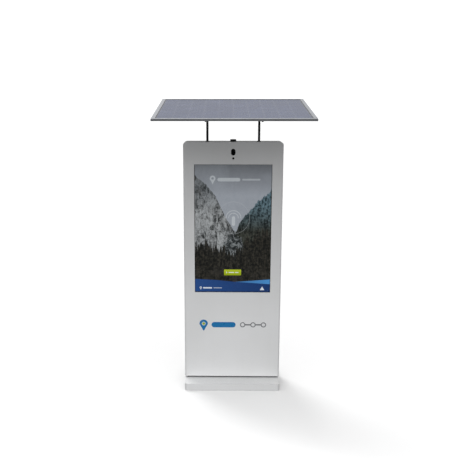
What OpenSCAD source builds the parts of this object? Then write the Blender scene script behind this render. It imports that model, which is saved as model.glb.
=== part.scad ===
// Solar-roofed outdoor self-service station: a slim floor-standing cabinet with a portrait touch
// screen, a covered ground plate, and a tilting solar module on two posts.
// Millimetres. X runs to the right of somebody facing the screen, the screen faces -Y, Z is up.
// The origin is the middle of the four floor anchors, on the floor.

/* [Cabinet] */
// Width of the cabinet
body_w = 680; // [660:1:720]
// Height of the cabinet, from its floor to its roof
body_h = 1684; // [1660:1:1720]
// Depth of the cabinet, front face to rear face
body_d = 160; // [155:1:180]
// Radius of the two upper corners, seen from the front
crown_r = 22; // [18:1:40]
// Radius of the upright edges, seen from above
edge_r = 14; // [8:1:20]
// Sheet thickness of the cabinet and fascia
sheet = 2.5; // [2:0.5:3]

/* [Base] */
// Width of the base covers
base_w = 672; // [664:1:680]
// Depth of the base covers
base_d = 390; // [370:1:420]
// Height of the base covers
base_h = 50; // [45:1:60]
// Radius of the base corners, seen from above
base_r = 20; // [12:1:30]
// Height of the dark gap between base and cabinet
gap_h = 10; // [8:1:14]
// Anchor spacing across the base
anchor_x = 560; // [520:1:580]
// Anchor spacing front to back
anchor_y = 300; // [280:1:320]
// Anchor hole radius
anchor_r = 7; // [6:0.5:8]
// Conduit entry radius
conduit_r = 30; // [25:1:34]

/* [Screen] */
// Width of the visible picture
window_w = 531; // [500:1:540]
// Height of the visible picture
window_h = 901; // [860:1:910]
// Height of the picture's lower edge above the floor
window_z = 693; // [685:1:700]

/* [Solar roof] */
// Width of the solar module
panel_w = 1036; // [1000:1:1080]
// Depth of the solar module along its slope
panel_l = 824; // [800:1:860]
// Thickness of the module frame
panel_t = 15; // [14:1:20]
// Width of the frame lip seen from above
panel_lip = 25; // [20:1:30]
// Slope of the module as set up
panel_tilt = 8.75; // [5:0.25:15]
// Height of the tilt axis above the floor
pivot_z = 1918; // [1915:1:1925]
// Distance from the tilt axis to the module's top face
pivot_drop = 50; // [48:1:52]
// Spacing of the two posts
post_pitch = 353; // [340:1:360]
// Radius of a post
post_r = 8; // [8:0.5:9]

/* [Rear door] */
// Width of the rear door
door_w = 602; // [596:1:602]
// Clear gap round the rear door
door_gap = 2; // [2:0.5:3]
// Width of the frame above and below the door opening
door_edge_z = 41; // [38:1:45]
// Depth of the door pan
door_pan = 17; // [15:1:17]
// Number of louvre slots in each column
slots = 9; // [6:1:10]

/* [Hidden] */
$fn = 48;

// Cabinet
body_z0 = base_h + gap_h;
body_z1 = body_z0 + body_h;
front_y = -body_d / 2;
rear_y = body_d / 2;
seam_y = front_y + 40;
seam_gap = 1.5;
arc_steps = 16;
flange_t = 2;
roof_z = body_z1 - sheet;

// Ground fixing
plate_w = 654;
plate_d = 372;
plate_t = 10;
plate_r = 14;
plinth_w = 652;
plinth_d = 136;
plinth_wall = 4;
plinth_r = 12;
cover_t = 2;
cover_foot = 0.5;
tab_t = 3;
tab_w = 30;
tab_h = 26;
cover_screw_y = 125;
cover_screw_z = 26;
foot_bolt_x = 285;
foot_bolt_ys = [-8, 48];
gland_r = 18;

// Screen
screen_cz = window_z + window_h / 2;
gasket_t = 1.5;
glass_t = 6;
glass_over = 17;
glass_w = window_w + 2 * glass_over;
glass_h = window_h + 2 * glass_over;
glass_y = front_y + sheet + gasket_t;
module_w = 541;
module_h = 912;
module_y0 = glass_y + glass_t + 1;
module_y1 = front_y + 61;
rail_face_y = module_y1 + 3;
control_z = screen_cz - 8;
camera_z = body_z1 - 67;
sensor_z = body_z1 - 109;
camera_w = 30;
camera_h = 45;
sensor_r = 7.5;

// Chassis
tube = 30;
tube_wall = 2;
rail_x = 305;
rail_top = body_z1 - 34;
beam_z = [640, 1330, 1680];
post_x = post_pitch / 2;
post_wall = 2;
post_foot = beam_z[1] + tube_wall + 0.3;
post_top = pivot_z - 22;
post_fit = 0.2;

// Tilt joint
tang_t = 8;
ear_t = 4;
ear_gap = 0.4;
pivot_bolt_r = 4;
rail_w = 40;
rail_h = 22;
rail_wall = 2.5;
rail_end = 13;
rail_tongue = 25;
rail_trim = 115;
shift_u = 7.6;

// Solar module
laminate_t = 4.5;
frame_box = 12;
glass_recess = 2.5;
jbox_u = 250;
rail_mid = pivot_drop - panel_t - rail_h / 2;

// Rear door
door_z0 = body_z0 + door_edge_z + door_gap;
door_z1 = body_z1 - door_edge_z - door_gap;
door_h = door_z1 - door_z0;
door_t = 1.5;
open_hw = door_w / 2 + door_gap;
seat_w = 14;
seat_y = rear_y - 22.5;
seal_t = 2.6;
hinge_x = door_w / 2 + door_gap / 2;
hinge_y = rear_y + 5.6;
knuckle_r = 5;
pin_r = 2.5;
leaf_t = 2;
leaf_w = 23.5;
leaf_h = 90;
hinge_zs = [door_z0 + 140, (door_z0 + door_z1) / 2, door_z1 - 140];
lock_x = -door_w / 2 + 34;
lock_zs = [door_z0 + 330, door_z1 - 330];
lock_r = 9;
plug_r = 6;
cam_y = seat_y - 5;
vent_w = 90;
vent_h = 6;
vent_pitch_z = 15;
vent_x = 66;
vent_zs = [door_z0 + 90, door_z1 - 90 - (slots - 1) * vent_pitch_z];

// Fans
fan = 120;
fan_t = 25;
fan_y1 = rear_y - door_t - 10;
fan_z = vent_zs[1] + (slots - 1) * vent_pitch_z / 2;
fan_x = vent_x;
fan_bore = 58;
hub_r = 20;
blades = 7;

// Camera
camera_back = front_y + sheet + 27.2;

// Equipment in the lower bay
bay_y = rail_face_y - 3;
plate_face = bay_y + 3;
tray_z = 88;
batt_w = 200;
batt_d = 66;
batt_h = 180;
batt_x = 108;
batt_z = tray_z + 3;
switch_z = 495;
breaker_x = -190;
breaker_w = 18;
lever_y = plate_face + 56;

// ---- helpers -------------------------------------------------------------------------------

// Points of an arc, in order from angle a0 to a1
function arc(cx, cy, r, a0, a1, n = arc_steps) =
    [for (i = [0 : n]) let (a = a0 + (a1 - a0) * i / n) [cx + r * cos(a), cy + r * sin(a)]];

// Outline of a rectangle from (x0, y0) to (x1, y1) with lower corner radius rl and upper ru
function rounded(x0, y0, x1, y1, rl, ru) = concat(
    arc(x1 - rl, y0 + rl, rl, -90, 0),
    arc(x1 - ru, y1 - ru, ru, 0, 90),
    arc(x0 + ru, y1 - ru, ru, 90, 180),
    arc(x0 + rl, y0 + rl, rl, 180, 270));

// A box between two corners
module block(a, b) {
    translate(a) cube(b - a);
}

// A prism of an outline drawn in X and Z, from y0 to y1
module slab_y(outline, y0, y1) {
    translate([0, y1, 0]) rotate([90, 0, 0]) linear_extrude(y1 - y0) polygon(outline);
}

// A prism of an outline drawn in X and Y, from z0 to z1
module slab_z(outline, z0, z1) {
    translate([0, 0, z0]) linear_extrude(z1 - z0) polygon(outline);
}

// A cylinder along Y from y0 to y1
module rod_y(x, z, r, y0, y1) {
    translate([x, y1, z]) rotate([90, 0, 0]) cylinder(r = r, h = y1 - y0);
}

// A cylinder along X from x0 to x1
module rod_x(y, z, r, x0, x1) {
    translate([x0, y, z]) rotate([0, 90, 0]) cylinder(r = r, h = x1 - x0);
}

// A cylinder along Z
module rod_z(x, y, r, z0, z1) {
    translate([x, y, z0]) cylinder(r = r, h = z1 - z0);
}

// Left and right copies
module both_sides() {
    children();
    mirror([1, 0, 0]) children();
}

// The cabinet's outer form, moved inwards by inset on every side
module envelope(inset) {
    intersection() {
        slab_y(rounded(-body_w / 2 + inset, body_z0 + inset, body_w / 2 - inset, body_z1 - inset,
            3, crown_r - inset), front_y - 1, rear_y + 1);
        slab_z(rounded(-body_w / 2 + inset, front_y + inset, body_w / 2 - inset, rear_y - inset,
            edge_r - inset, edge_r - inset), body_z0 - 1, body_z1 + 1);
    }
}

// The part of the envelope between two depths
module envelope_slice(inset, y0, y1) {
    intersection() {
        envelope(inset);
        block([-body_w, y0, 0], [body_w, y1, body_z1 + 50]);
    }
}

// A point set fixed to the solar module: u up the slope, n away from its top face
module on_panel() {
    translate([0, 0, pivot_z]) rotate([panel_tilt, 0, 0]) children();
}

// ---- base ----------------------------------------------------------------------------------

module ground_plate() {
    tab_x = base_w / 2 - cover_t - tab_t / 2 - 0.3;
    color("dimgray") difference() {
        union() {
            slab_z(rounded(-plate_w / 2, -plate_d / 2, plate_w / 2, plate_d / 2, plate_r, plate_r),
                0, plate_t);
            // upright tabs on short arms, which the covers are screwed to
            both_sides() for (sy = [-1, 1]) translate([tab_x, sy * cover_screw_y, 0]) {
                block([-tab_t / 2, -tab_w / 2, plate_t - tab_t], [tab_t / 2, tab_w / 2, plate_t + tab_h]);
                block([-20, -tab_w / 2, plate_t - tab_t], [0, tab_w / 2, plate_t]);
            }
        }
        for (sx = [-1, 1], sy = [-1, 1])
            rod_z(sx * anchor_x / 2, sy * anchor_y / 2, anchor_r, -1, plate_t + 1);
        rod_z(0, 0, conduit_r, -1, plate_t + 1);
        both_sides() for (sy = [-1, 1])
            rod_x(sy * cover_screw_y, cover_screw_z, 2.1, tab_x - 10, tab_x + 10);
    }
}

module plinth_frame() {
    wall = plinth_wall;
    color("black") difference() {
        union() {
            difference() {
                slab_z(rounded(-plinth_w / 2, -plinth_d / 2, plinth_w / 2, plinth_d / 2,
                    plinth_r, plinth_r), plate_t, body_z0);
                slab_z(rounded(-plinth_w / 2 + wall, -plinth_d / 2 + wall, plinth_w / 2 - wall,
                    plinth_d / 2 - wall, plinth_r - wall, plinth_r - wall), plate_t - 1, body_z0 + 1);
            }
            // bolting bars between the long walls
            both_sides() block([foot_bolt_x - 25, -plinth_d / 2 + 1, body_z0 - 12],
                [foot_bolt_x + 25, plinth_d / 2 - 1, body_z0]);
        }
        both_sides() for (y = foot_bolt_ys) rod_z(foot_bolt_x, y, 5.1, plate_t, body_z0 + 1);
    }
}

// One half of the base cover, drawn for the front
module base_cover() {
    w = base_w / 2;
    d = base_d / 2;
    clear = 2;
    difference() {
        slab_z(rounded(-w, -d, w, d, base_r, base_r), cover_foot, base_h);
        slab_z(rounded(-w + cover_t, -d + cover_t, w - cover_t, d - cover_t,
            base_r - cover_t, base_r - cover_t), -1, base_h - cover_t);
        slab_z(rounded(-plinth_w / 2 - clear, -plinth_d / 2 - clear, plinth_w / 2 + clear,
            plinth_d / 2 + clear, plinth_r, plinth_r), 0, base_h + 1);
        block([-w - 1, -0.25, -1], [w + 1, d + 1, base_h + 1]);
        both_sides() rod_x(-cover_screw_y, cover_screw_z, 2.8, w - 10, w + 10);
    }
}

module cabinet_bolts() {
    z = body_z0 + sheet;
    color("silver") both_sides() for (y = foot_bolt_ys) translate([foot_bolt_x, y, 0]) {
        rod_z(0, 0, 5, body_z0 - 16, z + 0.1);
        rod_z(0, 0, 11, z, z + 2);
        translate([0, 0, z + 1.9]) cylinder(r = 8.7, h = 7, $fn = 6);
    }
}

// Blind gland plate that closes the cable entry in the cabinet floor
module cable_gland() {
    z = body_z0 + sheet;
    color("black") {
        rod_z(0, 0, gland_r + 4, z, z + 2.5);
        rod_z(0, 0, 9, z + 2.4, z + 10);
    }
}

module base_cover_front() {
    color("white") base_cover();
}

module base_cover_rear() {
    color("white") mirror([0, 1, 0]) base_cover();
}

module cover_screws() {
    color("silver") for (sy = [-1, 1]) both_sides() {
        rod_x(sy * cover_screw_y, cover_screw_z, 2, base_w / 2 - 9, base_w / 2 + 0.2);
        difference() {
            rod_x(sy * cover_screw_y, cover_screw_z, 4.6, base_w / 2, base_w / 2 + 2.4);
            translate([base_w / 2 + 1.2, sy * cover_screw_y, cover_screw_z]) rotate([0, 90, 0])
                cylinder(r = 1.8, h = 3, $fn = 6);
        }
    }
}

// ---- cabinet -------------------------------------------------------------------------------

module cabinet_shell() {
    y0 = seam_y + seam_gap;
    z0 = body_z0 + door_edge_z;
    z1 = body_z1 - door_edge_z;
    color("white") difference() {
        union() {
            difference() {
                envelope_slice(0, y0, rear_y);
                envelope_slice(sheet, y0 - 1, rear_y);
            }
            // joggled flange that the fascia laps over
            difference() {
                envelope_slice(sheet + 0.5, y0 - 18, y0 + 14);
                envelope_slice(sheet + 0.5 + flange_t, y0 - 19, y0 + 15);
            }
            difference() {
                envelope_slice(sheet - 0.5, y0 + 0.5, y0 + 14);
                envelope_slice(sheet + 0.5 + flange_t, y0 - 1, y0 + 15);
            }
            // rebate that the rear door closes into
            difference() {
                block([-open_hw - sheet, seat_y, z0 - sheet], [open_hw + sheet, rear_y - 0.5, z1 + sheet]);
                block([-open_hw, seat_y + sheet, z0], [open_hw, rear_y, z1]);
                block([-open_hw + seat_w, seat_y - 1, z0 + seat_w],
                    [open_hw - seat_w, rear_y, z1 - seat_w]);
            }
        }
        block([-open_hw, seat_y + sheet, z0], [open_hw, rear_y + 1, z1]);
        // posts, antenna stud, supply cable and foot bolts
        both_sides() rod_z(post_x, 0, post_r + 0.6, body_z1 - 10, body_z1 + 1);
        rod_z(0, 0, 6.2, body_z1 - 10, body_z1 + 1);
        rod_z(0, 0, gland_r, body_z0 - 1, body_z0 + 3);
        both_sides() for (y = foot_bolt_ys) rod_z(foot_bolt_x, y, 5.4, body_z0 - 1, body_z0 + 3);
    }
}

// Upright capsule outline
function capsule(cx, cz, w, h) = concat(
    arc(cx, cz + h / 2 - w / 2, w / 2, 0, 180, 20),
    arc(cx, cz - h / 2 + w / 2, w / 2, 180, 360, 20));

module front_fascia() {
    color("white") difference() {
        envelope_slice(0, front_y, seam_y);
        envelope_slice(sheet, front_y, seam_y + 1);
        slab_y(rounded(-window_w / 2, window_z, window_w / 2, window_z + window_h, 1.5, 1.5),
            front_y - 1, front_y + sheet + 1);
        slab_y(capsule(0, camera_z, camera_w, camera_h), front_y - 1, front_y + sheet + 1);
        rod_y(0, sensor_z, sensor_r, front_y - 1, front_y + sheet + 1);
    }
}

module glass_gasket() {
    color("black") difference() {
        block([-glass_w / 2, front_y + sheet, window_z - glass_over],
            [glass_w / 2, glass_y, window_z + window_h + glass_over]);
        block([-window_w / 2 - 3, front_y, window_z - 3], [window_w / 2 + 3, 0, window_z + window_h + 3]);
    }
}

module touch_glass() {
    color("darkslategray") block([-glass_w / 2, glass_y, window_z - glass_over],
        [glass_w / 2, glass_y + glass_t, window_z + window_h + glass_over]);
}

// Frame that presses the glass and its gasket against the fascia
module glass_clamp_frame() {
    x0 = module_w / 2 + 1.5;
    z0 = screen_cz - module_h / 2 - 1.5;
    z1 = screen_cz + module_h / 2 + 1.5;
    y0 = front_y + sheet;
    yg = glass_y + glass_t;
    gx = glass_w / 2 + 1;
    gz = glass_h / 2 + 1;
    rim = 10;
    color("silver") difference() {
        block([-gx - rim, y0, screen_cz - gz - rim], [gx + rim, yg + 3, screen_cz + gz + rim]);
        block([-gx, y0 - 1, screen_cz - gz], [gx, yg, screen_cz + gz]);
        block([-x0, yg - 1, z0], [x0, yg + 4, z1]);
    }
}

module display_module() {
    color("dimgray") {
        difference() {
            block([-module_w / 2, module_y0, screen_cz - module_h / 2],
                [module_w / 2, module_y1, screen_cz + module_h / 2]);
            // stepped rear edge of the pressed back cover
            for (s = [-1, 1]) translate([s * module_w / 2, 0, screen_cz])
                block([-22, module_y1 - 12, -module_h], [22, module_y1 + 1, module_h]);
            for (s = [-1, 1]) translate([0, 0, screen_cz + s * module_h / 2])
                block([-module_w, module_y1 - 12, -22], [module_w, module_y1 + 1, 22]);
        }
        // control board cover
        block([-95, module_y1 - 0.1, control_z - 75], [95, module_y1 + 26, control_z + 75]);
    }
}

module display_bars() {
    x1 = rail_x + tube - 3;
    color("silver") for (z = [870, 1420]) {
        block([-x1, module_y1, z - 20], [x1, rail_face_y, z + 20]);
        both_sides() rod_y(100, z, 5, rail_face_y, rail_face_y + 3);
    }
}

module camera_window() {
    color("black") {
        slab_y(capsule(0, camera_z, camera_w - 0.6, camera_h - 0.6), front_y + 0.6, front_y + sheet + 0.1);
        slab_y(capsule(0, camera_z, camera_w + 10, camera_h + 10), front_y + sheet, front_y + sheet + 1.2);
    }
}

module camera_module() {
    y0 = front_y + sheet + 1.2;
    color("black") {
        rod_y(0, camera_z + 6, 7, y0, y0 + 12);
        block([-19, y0 + 11, camera_z - 24], [19, y0 + 26, camera_z + 24]);
        rod_y(0, camera_z - 12, 3, y0, y0 + 12);
    }
}

module sensor_window() {
    color("black") {
        rod_y(0, sensor_z, sensor_r - 0.3, front_y + 0.6, front_y + sheet + 0.2);
        rod_y(0, sensor_z, sensor_r + 2, front_y + sheet, front_y + sheet + 6);
    }
}

// ---- chassis and posts ---------------------------------------------------------------------

module chassis_rails() {
    z0 = body_z0 + sheet;
    color("silver") both_sides() difference() {
        block([rail_x, rail_face_y, z0], [rail_x + tube, rail_face_y + tube, rail_top]);
        block([rail_x + tube_wall, rail_face_y + tube_wall, z0 - 1],
            [rail_x + tube - tube_wall, rail_face_y + tube - tube_wall, rail_top + 1]);
    }
}

// Three square tubes across the cabinet; the posts pass through the upper two
module chassis_beams() {
    color("silver") for (i = [0 : 2]) difference() {
        block([-rail_x, rail_face_y, beam_z[i]], [rail_x, rail_face_y + tube, beam_z[i] + tube]);
        block([-rail_x - 1, rail_face_y + tube_wall, beam_z[i] + tube_wall],
            [rail_x + 1, rail_face_y + tube - tube_wall, beam_z[i] + tube - tube_wall]);
        if (i > 0) both_sides()
            rod_z(post_x, 0, post_r + post_fit, i == 1 ? beam_z[i] + 10 : beam_z[i] - 1, beam_z[i] + tube + 1);
    }
}

module support_posts() {
    color("black") both_sides() difference() {
        rod_z(post_x, 0, post_r, post_foot, post_top);
        rod_z(post_x, 0, post_r - post_wall, post_foot - 1, post_top + 1);
    }
}

module post_seals() {
    color("black") both_sides() difference() {
        rod_z(post_x, 0, 13, body_z1, body_z1 + 2.5);
        rod_z(post_x, 0, post_r + 0.1, body_z1 - 1, body_z1 + 4);
    }
}

module post_collars() {
    z0 = beam_z[2] + tube;
    color("silver") both_sides() difference() {
        union() {
            rod_z(post_x, 0, 16, z0, z0 + 12);
            rod_x(0, z0 + 6, 3, post_x + 10, post_x + 18);
        }
        rod_z(post_x, 0, post_r + 0.1, z0 - 1, z0 + 13);
    }
}

module antenna_dome() {
    color("black") {
        translate([0, 0, body_z1]) rotate_extrude($fn = 64) polygon(concat(
            [[0, 0], [21, 0], [21, 10]], arc(17, 11, 4, 0, 90, 8), [[0, 15]]));
        rod_z(0, 0, 6, body_z1 - 16, body_z1 + 0.1);
        difference() {
            translate([0, 0, roof_z - 8]) cylinder(r = 11, h = 7.6, $fn = 6);
            rod_z(0, 0, 6.1, roof_z - 9, roof_z);
        }
    }
}

// Sleeve over the post with a flat tang that carries the tilt axis
module post_heads() {
    color("black") both_sides() translate([post_x, 0, 0]) difference() {
        union() {
            rod_z(0, 0, post_r + 4, post_top - 16, post_top + 4);
            tang();
            rod_y(0, post_top - 8, 3, post_r + 1, post_r + 7);
        }
        rod_z(0, 0, post_r + 0.1, post_top - 17, post_top);
        rod_x(0, pivot_z, pivot_bolt_r + 0.1, -20, 20);
    }
}

// The tang's outline in Y and Z, drawn round the tilt axis and the clamp bolt
module tang() {
    h = pivot_z - post_top;
    translate([-tang_t / 2, 0, post_top]) rotate([90, 0, 90]) linear_extrude(tang_t)
        polygon(concat([[-11, 2], [11, 2]], arc(0, h, 11, 0, 180, 16)));
}

module pivot_bolts() {
    reach = tang_t / 2 + ear_gap + ear_t;
    color("silver") both_sides() translate([post_x, 0, 0]) {
        rod_x(0, pivot_z, pivot_bolt_r, -reach - 0.3, reach + 9);
        translate([-reach - 0.3 - 5.5, 0, pivot_z]) rotate([0, 90, 0]) cylinder(r = 7.5, h = 5.5, $fn = 6);
        difference() {
            translate([reach + 0.3, 0, pivot_z]) rotate([0, 90, 0]) cylinder(r = 7.5, h = 6.5, $fn = 6);
            rod_x(0, pivot_z, pivot_bolt_r + 0.05, 0, reach + 20);
        }
    }
}

// ---- solar roof ----------------------------------------------------------------------------

// One mitred length of frame, outer face at y = 0 and top at z = 0: a hollow edge, a lip over the
// glass, a shelf under it and a foot flange
module frame_bar(length) {
    h = length / 2;
    bed = glass_recess + laminate_t;
    wall = 2;
    intersection() {
        translate([-h, 0, 0]) rotate([90, 0, 90]) linear_extrude(length) difference() {
            union() {
                translate([-frame_box, -panel_t]) square([frame_box, panel_t]);
                translate([-panel_lip, -glass_recess]) square([panel_lip, glass_recess]);
                translate([-panel_lip, -bed - wall]) square([panel_lip, wall]);
                translate([-panel_lip, -panel_t]) square([panel_lip, wall]);
            }
            translate([-frame_box + wall, -panel_t + wall]) square([frame_box - 2 * wall, panel_t - 2 * wall]);
        }
        translate([0, 0, -panel_t - 1]) linear_extrude(panel_t + 2)
            polygon([[-h, 0], [h, 0], [h - 2 * panel_lip, -2 * panel_lip], [-h + 2 * panel_lip, -2 * panel_lip]]);
    }
}

module panel_frame() {
    color("silver") on_panel() translate([0, shift_u, pivot_drop])
        for (i = [0 : 3]) rotate([0, 0, 90 * i])
            translate([0, (i % 2 == 0 ? panel_l : panel_w) / 2, 0]) frame_bar(i % 2 == 0 ? panel_w : panel_l);
}

module solar_laminate() {
    color("midnightblue") on_panel() translate([0, shift_u, pivot_drop])
        block([-panel_w / 2 + 12.3, -panel_l / 2 + 12.3, -glass_recess - laminate_t + 0.1],
            [panel_w / 2 - 12.3, panel_l / 2 - 12.3, -glass_recess - 0.1]);
}

module panel_junction_box() {
    z1 = pivot_drop - glass_recess - laminate_t;
    color("black") on_panel() {
        block([-65, jbox_u, z1 - 22], [65, jbox_u + 90, z1]);
        for (x = [-40, 40]) translate([x, jbox_u, z1 - 11]) rotate([90, 0, 0]) cylinder(r = 7, h = 14);
    }
}

// Leads from the box glands across to grommets in the rails
module panel_leads() {
    n = pivot_drop - glass_recess - laminate_t - 11;
    x1 = post_x - rail_w / 2;
    color("black") on_panel() both_sides() {
        lead([[40, jbox_u - 14, n], [40, jbox_u - 40, n], [40, jbox_u - 40, rail_mid],
            [x1 - 2.5, jbox_u - 40, rail_mid]], 3);
        rod_x(jbox_u - 40, rail_mid, 6, x1 - 2.5, x1);
    }
}

// The walls are cut away towards both ends, where a flat tongue bolts under the frame
module rail_outline(h, z1) {
    polygon([[-h, z1], [-h, z1 - rail_wall], [-h + rail_tongue, z1 - rail_wall], [-h + rail_trim, z1 - rail_h],
        [h - rail_trim, z1 - rail_h], [h - rail_tongue, z1 - rail_wall], [h, z1 - rail_wall], [h, z1]]);
}

module panel_rails() {
    z1 = pivot_drop - panel_t;
    h = panel_l / 2 - rail_end;
    color("silver") on_panel() translate([0, shift_u, 0]) both_sides() translate([post_x, 0, 0])
        difference() {
            translate([-rail_w / 2, 0, 0]) rotate([90, 0, 90]) linear_extrude(rail_w) rail_outline(h, z1);
            block([-rail_w / 2 + rail_wall, -h - 1, z1 - rail_h - 1],
                [rail_w / 2 - rail_wall, h + 1, z1 - rail_wall]);
        }
}

// A pair of ears on each side of the tang, with a web bolted inside the rail
module ear_outline() {
    polygon(concat([[22, pivot_drop - panel_t - rail_wall]],
        [[-22, pivot_drop - panel_t - rail_wall]], arc(0, 0, 14, 180, 360, 20)));
}

module tilt_brackets() {
    x0 = tang_t / 2 + ear_gap;
    z1 = pivot_drop - panel_t - rail_wall;
    color("dimgray") both_sides() translate([post_x, 0, 0]) on_panel() difference() {
        union() {
            for (s = [-1, 1]) translate([s > 0 ? x0 : -x0 - ear_t, 0, 0]) rotate([90, 0, 90])
                linear_extrude(ear_t) ear_outline();
            block([-x0 - ear_t, -22, z1 - 4], [x0 + ear_t, 22, z1]);
        }
        rod_x(0, 0, pivot_bolt_r + 0.1, -30, 30);
    }
}

module panel_bolts() {
    z1 = pivot_drop - panel_t - rail_wall;
    v = panel_l / 2 - (panel_lip + frame_box) / 2;
    color("silver") on_panel() both_sides() translate([post_x, 0, 0]) {
        // hex heads under the frame's foot flange
        for (s = [-1, 1]) translate([0, shift_u + s * v, z1 - 5]) cylinder(r = 6.5, h = 5, $fn = 6);
        // low heads under the bracket web
        for (s = [-1, 1]) rod_z(0, s * 16, 3.2, z1 - 7, z1 - 4);
    }
}

// ---- rear door -----------------------------------------------------------------------------

module rear_door() {
    hw = door_w / 2;
    color("white") difference() {
        block([-hw, rear_y - door_pan, door_z0], [hw, rear_y, door_z1]);
        block([-hw + door_t, rear_y - door_pan - 1, door_z0 + door_t],
            [hw - door_t, rear_y - door_t, door_z1 - door_t]);
        for (z0 = vent_zs, i = [0 : slots - 1], s = [-1, 1])
            translate([s * vent_x, 0, z0 + i * vent_pitch_z])
                block([-vent_w / 2, rear_y - 5, -vent_h / 2], [vent_w / 2, rear_y + 1, vent_h / 2]);
        for (z = lock_zs) rod_y(lock_x, z, lock_r + 0.3, rear_y - 5, rear_y + 1);
    }
}

module door_seal() {
    w = 9;
    x1 = open_hw - 1;
    z0 = body_z0 + door_edge_z + 1;
    z1 = body_z1 - door_edge_z - 1;
    color("black") difference() {
        block([-x1, seat_y + sheet, z0], [x1, seat_y + sheet + seal_t, z1]);
        block([-x1 + w, seat_y, z0 + w], [x1 - w, rear_y, z1 - w]);
    }
}

// Knuckles of one hinge: the odd ones are on the frame, the even ones on the door
module knuckles(z, odd) {
    n = 5;
    step = leaf_h / n;
    for (i = [0 : n - 1]) if ((i % 2 == 0) == odd)
        difference() {
            union() {
                rod_z(hinge_x, hinge_y, knuckle_r, z - leaf_h / 2 + i * step + 0.2,
                    z - leaf_h / 2 + (i + 1) * step - 0.2);
                translate([hinge_x, rear_y, z - leaf_h / 2 + i * step + 0.2])
                    mirror([odd ? 0 : 1, 0, 0]) cube([7, leaf_t, step - 0.4]);
            }
            rod_z(hinge_x, hinge_y, pin_r + (odd ? 0.02 : 0.1), z - leaf_h, z + leaf_h);
        }
}

module hinge_frame_leaves() {
    color("silver") for (z = hinge_zs) {
        hinge_leaf(z);
        knuckles(z, true);
    }
}

// A leaf beside the knuckles with three raised screw heads
module hinge_leaf(z, side = 1) {
    translate([hinge_x, 0, 0]) mirror([side > 0 ? 0 : 1, 0, 0]) {
        block([5.6, rear_y, z - leaf_h / 2], [leaf_w, rear_y + leaf_t, z + leaf_h / 2]);
        for (k = [-30, 0, 30]) rod_y(15, z + k, 4.2, rear_y + leaf_t - 0.1, rear_y + leaf_t + 1.8);
    }
}

module hinge_door_leaves() {
    color("silver") for (z = hinge_zs) {
        hinge_leaf(z, -1);
        knuckles(z, false);
    }
}

module hinge_pins() {
    color("silver") for (z = hinge_zs) {
        rod_z(hinge_x, hinge_y, pin_r, z - leaf_h / 2 - 1.5, z + leaf_h / 2 + 0.2);
        rod_z(hinge_x, hinge_y, 4, z + leaf_h / 2 + 0.1, z + leaf_h / 2 + 2.2);
    }
}

module lock_housings() {
    color("silver") for (z = lock_zs) difference() {
        union() {
            rod_y(lock_x, z, lock_r, cam_y + 4, rear_y + 0.1);
            rod_y(lock_x, z, 14, rear_y, rear_y + 2.6);
            rod_y(lock_x, z, 13, rear_y - door_t - 4, rear_y - door_t);
        }
        rod_y(lock_x, z, plug_r + 0.1, cam_y, rear_y + 5);
    }
}

// Plug with a key slot, and the cam that turns behind the door frame
module lock_cam(z) {
    color("silver") {
        difference() {
            rod_y(lock_x, z, plug_r, cam_y, rear_y + 2.2);
            block([lock_x - 1, rear_y - 6, z - 4], [lock_x + 1, rear_y + 3, z + 4]);
        }
        slab_y(capsule(lock_x, z + 17, 18, 52), cam_y - 3, cam_y + 0.1);
        translate([lock_x, cam_y - 3, z]) rotate([90, 0, 0]) cylinder(r = 6, h = 4, $fn = 6);
    }
}

module lock_cam_upper() {
    lock_cam(lock_zs[1]);
}

module lock_cam_lower() {
    lock_cam(lock_zs[0]);
}

// ---- fans ----------------------------------------------------------------------------------

module fan_housings() {
    y0 = fan_y1 - fan_t;
    color("black") for (s = [-1, 1]) translate([s * fan_x, 0, fan_z]) {
        difference() {
            block([-fan / 2, y0, -fan / 2], [fan / 2, fan_y1, fan / 2]);
            rod_y(0, 0, fan_bore, y0 - 1, fan_y1 + 1);
            for (a = [-1, 1], b = [-1, 1]) rod_y(a * 52.5, b * 52.5, 2.2, y0 - 1, fan_y1 + 1);
        }
        rod_y(0, 0, 17, y0, y0 + 3);
        for (a = [45 : 90 : 359]) rotate([0, a, 0]) block([16, y0, -2], [fan_bore + 1, y0 + 3, 2]);
    }
}

module fan_rotor() {
    y0 = fan_y1 - fan_t + 4;
    color("dimgray") {
        rod_y(0, 0, hub_r, y0, fan_y1 - 1);
        for (i = [0 : blades - 1]) rotate([0, i * 360 / blades, 0])
            translate([hub_r - 1, (y0 + fan_y1) / 2, 0]) rotate([38, 0, 0])
                block([0, -11, -1], [fan_bore - hub_r - 1.5, 11, 1]);
    }
}

module fan_rotor_left() {
    translate([-fan_x, 0, fan_z]) fan_rotor();
}

module fan_rotor_right() {
    translate([fan_x, 0, fan_z]) fan_rotor();
}

// Filter pads between the louvres and the fans, and behind the lower louvres
module fan_filters() {
    mid = [for (z = vent_zs) z + (slots - 1) * vent_pitch_z / 2];
    color("darkgray") for (z = mid, s = [-1, 1]) translate([s * fan_x, 0, z])
        block([-fan / 2, fan_y1, -fan / 2 - 10], [fan / 2, rear_y - door_t, fan / 2 + 10]);
}

// ---- equipment bay -------------------------------------------------------------------------

module equipment_plate() {
    color("silver") block([-rail_x - tube + 8, bay_y, 80], [rail_x + tube - 8, plate_face, 636]);
}

module battery_tray() {
    x1 = batt_x + batt_w / 2 + 10;
    color("dimgray") {
        block([-x1, plate_face, tray_z], [x1, plate_face + batt_d + 5, tray_z + 3]);
        block([-x1, plate_face + batt_d + 2.5, tray_z], [x1, plate_face + batt_d + 5, tray_z + 26]);
    }
}

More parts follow.
